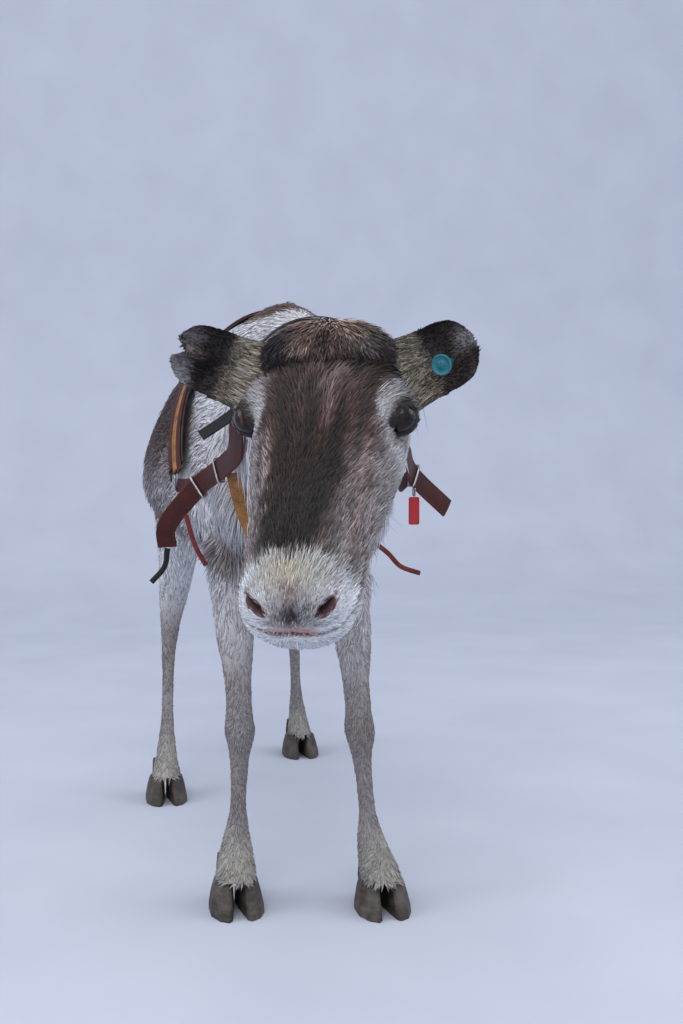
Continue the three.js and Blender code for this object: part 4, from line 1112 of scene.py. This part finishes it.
def grow(name, chosen, count, seed, segments=3, weight=1.0):
    """A piece of the coat: count tufts over the chosen faces of the skin."""
    draw = np.random.default_rng(seed)
    chance = face_area * chosen * weight
    face = draw.choice(len(chance), count, p=chance / chance.sum())
    share = np.sort(draw.random((count, 2)), axis=1)
    share = np.stack([share[:, 0], share[:, 1] - share[:, 0], 1 - share[:, 1]], 1)

    def at(values):
        return (values[skin_faces[face]] * share[:, :, None]).sum(1)

    root = at(skin_points)
    part = face_part[face]
    keep = ~bare(root)
    search = 42
    pressed = np.zeros(count)
    for index in np.nonzero(np.isin(part, (TORSO, NECK, *LEGS)))[0]:
        strap = strap_tree.find_nearest(root[index], search)
        if strap[0] is not None:
            pressed[index] = 1 - slope(strap[3], 13, 30)
    root, part, face, share, pressed = root[keep], part[keep], face[keep], share[keep], pressed[keep]
    count = len(root)

    # How each tuft lies: its length, width and lift, and the curve of its spine
    normal, way = unit(at(skin_normals)), at(skin_lie)
    _, place_along, place_round = parts_at(root)
    length, width, lift = coat_measures(root, part, place_round)
    across = np.cross(normal, way)
    loose = by_part(part, np.ones(count), ((HEAD, RIM, EAR), 0.5))
    bunch = waves(root, 17, 21) * 0.30 + waves(root, 7, 22) * 0.14
    way = unit(way + across * ((bunch + draw.normal(0, 0.13, count)) * loose)[:, None])
    way = lie_flat(way, normal)
    across = np.cross(normal, way)
    length = length * draw.uniform(0.72, 1.18, count)
    width = width * draw.uniform(0.75, 1.25, count)
    lift = np.radians((lift + 5 * draw.normal(0, 1, count) + 5 * waves(root, 12, 23)) * (1 - 0.8 * pressed))
    length = length * (1 - 0.35 * pressed)
    rise = np.sin(lift)[:, None] * normal + np.cos(lift)[:, None] * way
    hang = by_part(part, np.zeros(count), (NECK, 0.42), (TAIL, 0.3), (TORSO, 0.08))
    bend = -0.55 * np.sin(lift)[:, None] * normal + np.array([0, 0, -1.0]) * hang[:, None]
    bend = bend + across * draw.normal(0, 0.13, count)[:, None] * loose[:, None]
    edge = 0.6 * slope(head_places(root)[1], -66, -48) * (part == CREST)
    bend = bend + (np.array([0, -0.15, -0.75]) @ head_turn.T) * edge[:, None]

    # Its shape: three-sided rings along the spine, that end in a point
    steps = np.linspace(0, 1, segments + 1)
    fullness = np.interp(steps[:-1], [0, 0.3, 0.65, 1], [0.85, 1.0, 0.68, 0.05])
    base = root - normal * (0.3 + 0.03 * length)[:, None]
    points = []
    for step, full in zip(steps[:-1], fullness):
        spine = base + length[:, None] * (rise * step + bend * step * step)
        half = (width * full / 2)[:, None]
        thick = (width * full * 0.32)[:, None]
        points += [spine - across * half, spine + across * half, spine + normal * thick]
    points.append(base + length[:, None] * (rise + bend))
    points = np.stack(points, 1)
    per = points.shape[1]
    template, starts = [], []
    for low in range(0, per - 1, 3):
        for a, b in ((0, 1), (1, 2), (2, 0)):
            starts.append(len(template))
            high = (low + 3 + b, low + 3 + a) if low + 4 < per else (per - 1,)
            template += [low + a, low + b, *high]
    template, starts = np.array(template), np.array(starts)
    loops = (np.arange(count)[:, None] * per + template).ravel()
    loop_starts = (np.arange(count)[:, None] * len(template) + starts).ravel()
    mesh = bpy.data.meshes.new(name)
    mesh.vertices.add(count * per)
    mesh.loops.add(len(loops))
    mesh.polygons.add(len(loop_starts))
    mesh.vertices.foreach_set("co", placed(points.reshape(-1, 3)).astype(np.float32).ravel())
    mesh.loops.foreach_set("vertex_index", loops.astype(np.int32))
    mesh.polygons.foreach_set("loop_start", loop_starts.astype(np.int32))
    mesh.polygons.foreach_set("use_smooth", np.ones(len(loop_starts), bool))
    mesh.update(calc_edges=True)

    # Its colour: that of the skin, darker at the root and paler at the tip
    tone = lid_shadow(root, markings(root, part))
    fine_hair = np.isin(part, (HEAD, RIM, EAR, CREST))
    bright = slope(tone.mean(1), 110, 180)
    spread = np.where(fine_hair, 0.22 - 0.14 * bright, 0.07)
    tone = tone * np.clip(1 + spread * draw.normal(0, 1, count), 0.6, 1.5)[:, None]
    step = np.append(np.repeat(steps[:-1], 3), 1)
    root_tone = np.where(fine_hair, 0.6 + 0.26 * bright, 0.84)[:, None]
    tip_tone = np.where(fine_hair, 1.3 - 0.2 * bright, 1.08)[:, None]
    along_tone = root_tone + (tip_tone - root_tone) * step
    colour_points(mesh, np.clip(tone[:, None] * along_tone[:, :, None], 0, 250).reshape(-1, 3))

    # Its maps: a small patch of its part's cell for the bake, and a strip of the fine streaks
    cells = np.array([4, 3])
    cell = np.stack([part % cells[0], part // cells[0]], 1)
    home = (cell + 0.04 + 0.92 * np.stack([place_round, np.clip(place_along, 0, 1)], 1)) / cells
    sway = np.append(np.tile([-1, 1, 0], segments), 0) * 0.0015
    patch = home[:, None] + np.stack([sway, step * 0.003], 1)[None]
    offset = draw.random(count) * 40
    lines = np.stack([offset[:, None] + sway / 0.003, offset[:, None] * 0.37 + step * 0.6], 2)
    for map_name, places in (("OFBake", patch), ("Strand", lines)):
        layer = mesh.uv_layers.new(name=map_name)
        layer.data.foreach_set("uv", places.reshape(-1, 2)[loops].astype(np.float32).ravel())
    return dress(add_object(name, mesh), hair, "coat_body")


hair_look = {"Roughness": 0.62, "Specular_IOR_Level": 0.2, "Sheen_Weight": 0.05, "Sheen_Roughness": 0.5}
hair, hair_paint = new_material("hair", **hair_look)
tint = hair_paint.node("ShaderNodeAttribute", attribute_name="Coat")
streaks = hair_paint.along("Strand").scaled(7, 1.2, 1).noise(3, 3, 0.6)
feed(hair, Base_Color=tint.times(0.7, streaks.ramp((0.3, grey(0.5)), (0.7, grey(1.15)))))

_, front, above = head_places(face_middle)
behind = (front < -150) | (above < -40)
for index in range(2):
    grow(f"coat_barrel_{index + 1}", face_part == TORSO, 20500, 31 + index, 2)
for index in range(2):
    grow(f"coat_neck_{index + 1}", (face_part == NECK) & behind, 8500, 41 + index)
for index in range(3):
    grow(f"coat_face_{index + 1}", np.isin(face_part, (HEAD, RIM)) & (front > -118), 15000, 51 + index, 2)
grow("coat_crest", face_part == CREST, 8500, 61)
grow("coat_ears", face_part == EAR, 8000, 65, 2)
low_down = 1 / (0.4 + slope(face_middle[:, 2], 250, 600))
for index, part in enumerate(LEGS):
    grow(f"coat_leg_{index + 1}", face_part == part, 7000, 71 + index, 2, low_down)
grow("coat_tail", face_part == TAIL, 1500, 81)

# Harness straps: split leather strips, oiled red-brown or black, and one of ochre webbing, each with a
# slightly crowned face, rounded edges and two rows of stitching. They lie on the coat.


def smooth_line(path, pitch=5.0):
    """Evenly spaced points on a smooth line through the given ones."""
    path = np.array(path, float)
    ends = np.array([2 * path[0] - path[1], *path, 2 * path[-1] - path[-2]])
    line = []
    for a, b, c, d in zip(ends, ends[1:], ends[2:], ends[3:]):
        gaps = [np.linalg.norm(q - p) ** 0.5 for p, q in ((a, b), (b, c), (c, d))]
        t = np.cumsum([0, *gaps])
        for at in np.linspace(t[1], t[2], 24, endpoint=False):
            ab = a + (b - a) * at / t[1]
            bc = b + (c - b) * (at - t[1]) / gaps[1]
            cd = c + (d - c) * (at - t[2]) / gaps[2]
            abc = ab + (bc - ab) * at / t[2]
            bcd = bc + (cd - bc) * (at - t[1]) / (t[3] - t[1])
            line.append(abc + (bcd - abc) * (at - t[1]) / gaps[1])
    line = np.array([*line, path[-1]])
    way = np.append(0, np.cumsum(np.linalg.norm(np.diff(line, axis=0), axis=1)))
    even = np.linspace(0, way[-1], max(int(way[-1] / pitch), 4) + 1)
    return np.stack([np.interp(even, way, column) for column in line.T], 1)


seam_place, seam_depth = 0.81, 0.35


def strap_profile(wide, thick):
    """The strap's outline: points across and out of its face."""
    radius = min(thick * 0.45, 1.4)
    half, deep = wide / 2, thick / 2
    corner = [(math.cos(t), math.sin(t)) for t in (0, math.pi / 4, math.pi / 2)]
    side = [(half - radius + radius * c, deep - radius + radius * s) for c, s in corner]
    front = [(half * x, deep + 0.5 * (1 - x * x)) for x in (0.84, 0.78, 0.4, 0, -0.4, -0.78, -0.84)]
    front = [(x, y - (seam_depth if abs(abs(x) / half - seam_place) < 0.04 else 0)) for x, y in front]
    left = [(-x, y) for x, y in reversed(side)]
    back = [(-x, -y) for x, y in side] + [(x, -y) for x, y in reversed(side)]
    return np.array(side + front + left + back)


crease = math.radians(50)


def sweep(name, line, face, profile, closed=False):
    """A closed strip: the profile carried along the line, with the face turned as told."""
    along = unit(np.roll(line, -1, 0) - np.roll(line, 1, 0)) if closed else unit(np.gradient(line, axis=0))
    face = unit(face - along * (face * along).sum(1, keepdims=True))
    across = np.cross(along, face)
    grid = line[:, None] + profile[None, :, :1] * across[:, None] + profile[None, :, 1:2] * face[:, None]
    index = numbered(grid)
    low, high = (index, np.roll(index, -1, 0)) if closed else (index[:-1], index[1:])
    ends = [] if closed else [index[0][::-1].tolist(), index[-1].tolist()]
    piece = outward(add_mesh(name, placed(grid.reshape(-1, 3)), between(low, high).tolist() + ends))
    bpy.ops.object.shade_smooth_by_angle(angle=crease)
    run = np.append(0, np.cumsum(np.linalg.norm(np.diff(line, axis=0), axis=1)))
    wide = np.abs(profile[:, 0]).max()
    layer = piece.data.uv_layers.new(name="Strap")
    for loop in piece.data.loops:
        ring, side = divmod(loop.vertex_index, len(profile))
        layer.data[loop.index].uv = (run[ring] / 100, profile[side, 0] / wide)
    return piece


def leather(name, colour, worn, thread, roughness):
    """Grained leather with darker pores, paler worn edges and a double row of thread."""
    material, paint = new_material(name, Specular_IOR_Level=0.25)
    strip = paint.along("Strap")
    side = strip.axis(1).size()
    place = paint.place()
    cells = place.node("ShaderNodeTexVoronoi", {"Vector": place, "Scale": 620}, out=0)
    mottle = place.noise(46, 5, 0.62)
    fibre = place.noise(900, 3, 0.6)
    stitch = (1 - (side - seam_place).size() * 22).clamp()
    run = strip.axis(0) * 16
    dash = run.sum("FRACT", run) * 9
    seam = (stitch * ((dash - 1.4).clamp() * (8.2 - dash).clamp()) * 3).clamp()
    rub = (((side - 0.86) * 8).clamp() * (mottle * 3 - 0.9).clamp()).clamp()
    tones = [[min(times * c + more, 255) for c in colour] for times, more in ((0.5, 0), (0.62, 0), (1.3, 6))]
    dark, deep, light = tones
    base = mottle.ramp((0.25, shade(*deep)), (0.52, shade(*colour)), (0.8, shade(*light)))
    base = (1 - cells * 1.6).clamp().mix(base, shade(*dark))
    base = seam.mix(rub.mix(base, shade(*worn)), shade(*thread))
    height = (cells * 1.2).clamp() * 0.5 + fibre * 0.25 + seam * 0.9 - stitch * 0.4
    rough = (mottle * 0.3 + roughness - 0.12 + rub * 0.12).clamp()
    feed(material, Base_Color=base, Roughness=rough, Normal=height.relief(0.55, 0.0007))
    return material


red_leather = leather("red_leather", (64, 14, 10), (104, 46, 34), (52, 22, 18), 0.5)
ochre_web = leather("ochre_web", (146, 102, 58), (192, 148, 92), (120, 78, 40), 0.62)
black_leather = leather("black_leather", (17, 18, 21), (58, 56, 56), (44, 44, 46), 0.48)
thong_leather = leather("thong_leather", (112, 44, 40), (150, 90, 80), (112, 44, 40), 0.6)
red_look = red_leather, "leather_red"
ochre_look = ochre_web, "leather_ochre"
black_look = black_leather, "leather_black"
thong_look = thong_leather, "leather_red"


def lay_strap(name, line, face, wide, thick, look, *nodes):
    dress(sweep(name, line, face, strap_profile(wide, thick)), *look, *nodes)


def collar_face(line):
    radial = unit(np.stack([line[:, 0] - 0.15 * line[:, 1], 0 * line[:, 0], line[:, 2] - 716], 1))
    flare = 1.6 - 1.35 * slope(line[:, 2], 640, 780)
    return radial + np.stack([0 * flare, -flare, 0.3 * flare], 1)


collar_path = [
    (213, -26, 602), (152, -62, 650), (120, -140, 678), (90, -215, 702), (65, -280, 735), (46, -315, 778),
    (10, -325, 824), (-50, -328, 848), (-112, -322, 812), (-141, -312, 752), (-141, -290, 712),
    (-138, -245, 682), (-143, -190, 668), (-152, -130, 655), (-168, -70, 636), (-210, -28, 576),
    (-208, -24, 549),
]
collar_line = smooth_line(collar_path)
collar_line[:, 2] -= 9 * slope(collar_line[:, 2], 790, 835)
lay_strap("collar_strap", collar_line, collar_face(collar_line), 29, 5, red_look, "collar")

# The throat strap is the lower part of a loop: wide at its ends, and rounded off below
loop_angle = np.radians(np.linspace(200, 340, 17))
loop_side, loop_high = np.cos(loop_angle), np.abs(np.sin(loop_angle)) ** (2 / 1.9)
loop_side = 114 * np.sign(loop_side) * np.abs(loop_side) ** (2 / 1.9)
loop_middle = np.array([-24.0, -190, 727])
loop_down = unit(np.array([0, -0.16, 1.0]))
loop_line = smooth_line(loop_middle + np.outer(loop_side, X_WAY) - np.outer(222 * loop_high, loop_down))
loop_face = unit(loop_line - loop_middle) + np.array([0, -1.1, 0])
lay_strap("throat_strap", loop_line, loop_face, 24, 4, ochre_look, "throat_loop")

for side, name in ((1, "left"), (-1, "right")):
    front = [(152, -14, 645), (149, -46, 650)] if side > 0 else [(159, -20, 640), (165, -58, 638)]
    path = [(180, 128, 636), (170, 82, 636), (158, 30, 639), *front]
    line = smooth_line([(side * x, y, z) for x, y, z in path])
    lay_strap(f"joining_strap_{name}", line, (side, -0.2, 0.1), 22, 4, red_look, f"side_strap_{name}")

collar_tail = [(-208, -24, 547), (-212, -24, 521), (-231, -22, 498)]
breast_thong = [(-184, -56, 596), (-171, -58, 552), (-156, -58, 524)]
hanging_thong = [(50, -168, 564), (74, -140, 556), (99, -116, 540), (118, -108, 522), (148, -104, 511)]
for name, path, wide, look, node_name in (
    ("collar_tail", collar_tail, 8, black_look, "collar_end"),
    ("breast_thong", breast_thong, 7, thong_look, "chest_thong"),
    ("hanging_thong", hanging_thong, 7, thong_look, "loose_thong"),
):
    lay_strap(name, smooth_line(path, 3), (-0.2, -1, 0.2), wide, 3, look, node_name)

# Girths: the black strap behind the head and the saddle, a black pad under three strips, wrap the coat
# closely; each follows the outline of the body in its own plane.
shell_points, shell_faces = stacked([grid for _, grid in forms[:2]])
shell = bvhtree.BVHTree.FromPolygons(shell_points.tolist(), shell_faces)


def girth(centre, up, first, last, rise, steps=72):
    """Points on the outside of the coat all round a centre, in the plane of up and the animal's side."""
    centre, up = np.array(centre, float), unit(np.array(up, float))
    line, face = [], []
    for angle in np.radians(np.linspace(first, last, steps)):
        way = math.cos(angle) * X_WAY + math.sin(angle) * up
        hit = shell.ray_cast(centre + way * 500, -way)
        out = np.array(hit[1][:])
        out = out if out @ way > 0 else -out
        line.append(np.array(hit[0][:]) + out * rise)
        face.append(out)
    line, face = np.array(line), np.array(face)
    for _ in range(4):
        line[1:-1] = (line[:-2] + 2 * line[1:-1] + line[2:]) / 4
        face[1:-1] = (face[:-2] + 2 * face[1:-1] + face[2:]) / 4
    return line, face


line, face = girth((-66, -362, 740), Z_WAY, -88, 268, 2.5, 110)
lay_strap("poll_strap", line, face, 20, 3, black_look, "neck_strap")
line = smooth_line([(-146, -362, 733), (-166, -362, 718), (-193, -360, 700)], 3)
lay_strap("poll_strap_end", line, (-0.5, -1, 0.8), 16, 3, black_look)

saddle_lean = math.radians(34.7)
saddle_up = (0, math.sin(saddle_lean), math.cos(saddle_lean))
for name, offset, wide, thick, rise, look, node_name in (
    ("saddle_cloth", 0, 62, 3, 1.8, black_look, "saddle_pad"),
    ("saddle_band_front", -17.5, 15, 2.5, 5, red_look, "saddle_strip_front"),
    ("saddle_band_middle", 0, 15, 2.5, 5, ochre_look, "saddle_strip_middle"),
    ("saddle_band_rear", 17.5, 15, 2.5, 5, red_look, "saddle_strip_rear"),
):
    line, face = girth((0, 150 + offset / math.cos(saddle_lean), 655), saddle_up, 1, 179, rise)
    lay_strap(name, line, face, wide, thick, look, node_name)

# Harness metal: keepers and buckles bent from dull steel wire, the keepers round the collar and each
# buckle at the rear end of a joining strap
steel_wire, wire_paint = new_material("steel_wire", Metallic=1.0)
place = wire_paint.place()
tarnish = place.noise(90, 5, 0.65)
feed(steel_wire, Base_Color=tarnish.ramp((0.3, shade(128, 124, 124)), (0.7, shade(188, 186, 190))))
feed(steel_wire, Roughness=(tarnish * 0.5 + 0.12).clamp())
feed(steel_wire, Normal=place.noise(1400, 2, 0.5).relief(0.25, 0.0003))


def round_wire(thick, sides):
    angles = np.arange(sides) / sides * 2 * math.pi
    return np.array([(thick * math.cos(angle), thick * math.sin(angle)) for angle in angles])


def wire_loop(name, centre, first, second, half_wide, half_high, thick, *nodes):
    """A rounded rectangle of wire in the plane of two directions."""
    first, second = unit(np.array(first, float)), unit(np.array(second, float))
    angle = np.linspace(0, 2 * math.pi, 56, endpoint=False)
    cosine, sine = np.cos(angle), np.sin(angle)
    x = half_wide * np.sign(cosine) * np.abs(cosine) ** 0.28
    y = half_high * np.sign(sine) * np.abs(sine) ** 0.28
    line = np.array(centre, float) + x[:, None] * first + y[:, None] * second
    piece = sweep(name, line, np.cross(first, second), round_wire(thick, 10), True)
    dress(piece, steel_wire, "steel", *nodes)


collar_along = unit(np.gradient(collar_line, axis=0))
collar_look = collar_face(collar_line)
collar_look = unit(collar_look - collar_along * (collar_look * collar_along).sum(1, keepdims=True))
for index, share in enumerate((0.085, 0.81, 0.89)):
    at = round(share * (len(collar_line) - 1))
    across, look = np.cross(collar_along[at], collar_look[at]), collar_look[at]
    name, node_name = f"keeper_wire_{index + 1}", f"collar_keeper_{index + 1}"
    wire_loop(name, collar_line[at], across, look, 16.8, 4.6, 1.7, node_name)
for side, name in ((1, "left"), (-1, "right")):
    wire_loop(f"buckle_{name}", (side * 185, 136, 640), Y_WAY, Z_WAY, 15, 11, 2.0, f"saddle_buckle_{name}")
    line = smooth_line([(side * 185, 151, 640), (side * 187.5, 138, 640), (side * 187, 121, 640)], 3)
    dress(sweep(f"buckle_prong_{name}", line, Z_WAY, round_wire(1.2, 8)), steel_wire, "steel")


# Tags: a blank red plastic tag that hangs from a steel link on the collar, and a blank teal button in the
# left ear, both moulded, with rounded edges and fine scratches
def moulded(name, deep, colour, bright):
    material, paint = new_material(name, Specular_IOR_Level=0.5)
    place = paint.place()
    cloud = place.noise(70, 4, 0.6)
    scratch = place.scaled(1, 1, 0.08).noise(1500, 3, 0.7)
    worn = (scratch * 5 - 3.1).clamp()
    base = cloud.ramp((0.3, shade(*deep)), (0.7, shade(*colour)))
    feed(material, Base_Color=(worn * 0.35).mix(base, shade(*bright)))
    feed(material, Roughness=(cloud * 0.25 + 0.22 + worn * 0.2).clamp())
    feed(material, Normal=scratch.relief(0.3, 0.0002))
    return material


def rounded(piece, width, segments):
    edge = piece.modifiers.new("edge", "BEVEL")
    edge.width = width / 1000
    edge.segments = segments
    edge.limit_method = "ANGLE"
    edge.angle_limit = math.radians(40)
    bpy.ops.object.modifier_apply(modifier="edge")
    bpy.ops.object.shade_smooth_by_angle(angle=crease)


def pick(items, test):
    """Leaves only those faces or edges of the active piece selected for which the test is true."""
    edit(nothing)
    for item in items:
        item.select = test(item)


def inset(thickness, depth=0.0):
    return bpy.ops.mesh.inset, {"thickness": thickness / 1000, "depth": depth / 1000}


def through_tag(edge):
    first, second = [red_tag.data.vertices[index].co.y for index in edge.vertices]
    return abs(first - second) > 0.001


bpy.ops.mesh.primitive_cube_add(size=1)
red_tag = just_made("red_tag")
edit((bpy.ops.transform.resize, {"value": (0.016, 0.003, 0.041)}), by_edge)
pick(red_tag.data.edges, through_tag)
edit((bpy.ops.mesh.bevel, {"offset": 0.003, "segments": 5}), by_face)
pick(red_tag.data.polygons, lambda face: abs(face.normal.y) > 0.9)
edit(inset(1.6, -0.5))
rounded(red_tag, 0.5, 2)
settle(red_tag, np.eye(3), (150, -66, 600))
red_plastic = moulded("tag_red_plastic", (150, 6, 20), (186, 12, 30), (214, 84, 88))
dress(red_tag, red_plastic, "tag_red", "collar_tag")
wire_loop("tag_ring", (150, -66, 627.9), Y_WAY, Z_WAY, 4.6, 5.4, 1.3, "collar_tag_link")

bpy.ops.mesh.primitive_cylinder_add(vertices=40, radius=0.010, depth=0.003)
button = just_made("ear_button")
pick(button.data.polygons, lambda face: face.normal.z > 0.9)
edit(inset(1.6), inset(0.8, -0.7), inset(3.6), inset(0.6, 1.2))
pick(button.data.polygons, lambda face: face.normal.z < -0.9)
pin = {"TRANSFORM_OT_translate": {"value": (0, 0, -0.02)}}
edit(inset(7.2), (bpy.ops.mesh.extrude_region_move, pin))
rounded(button, 0.4, 2)
_, ear_root, ear_axis, ear_facing = ears[1]
ear_across = np.cross(ear_axis, ear_facing)
button_place = ear_root + ear_axis * 69 + ear_facing * 24 + ear_across * 7
settle(button, [ear_axis, ear_across, ear_facing], button_place)
teal_plastic = moulded("tag_teal_plastic", (20, 84, 98), (32, 112, 124), (96, 158, 162))
dress(button, teal_plastic, "tag_teal", "ear_tag")

# Hooves: two main claws and two dew claws on each foot, of dark worn horn with growth rings. They grow
# from the ends of the legs, under the hair of the feet, and are the claws of the solids made smooth.
horn, horn_paint = new_material("horn", Specular_IOR_Level=0.4)
place = horn_paint.place()
growth = place.scaled(0.15, 0.15, 1).noise(260, 3, 0.6)
fibres = place.scaled(1, 1, 0.1).noise(700, 4, 0.65)
dust = place.noise(38, 4, 0.6)
horn_tone = growth * 0.6 + fibres * 0.4
horn_tone = horn_tone.ramp((0.32, shade(28, 23, 21)), (0.55, shade(56, 48, 43)), (0.75, shade(92, 82, 74)))
feed(horn, Base_Color=(dust * 1.6 - 0.7).clamp().mix(horn_tone, shade(118, 110, 102)))
feed(horn, Roughness=(fibres * 0.35 + 0.38).clamp())
feed(horn, Normal=(growth * 0.7 + fibres * 0.3).relief(0.6, 0.0008))
for name in [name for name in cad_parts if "claw" in name]:
    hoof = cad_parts[name].copy()
    hoof.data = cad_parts[name].data.copy()
    hoof.name = hoof.data.name = name.replace("claw", "hoof")
    bpy.context.collection.objects.link(hoof)
    only(hoof)
    edit(whole, (bpy.ops.mesh.remove_doubles, {"threshold": 0.00005}))
    fuse(hoof, 0.0018, 7)
    bpy.ops.object.shade_smooth()
    dress(hoof, horn, "hoof", name)
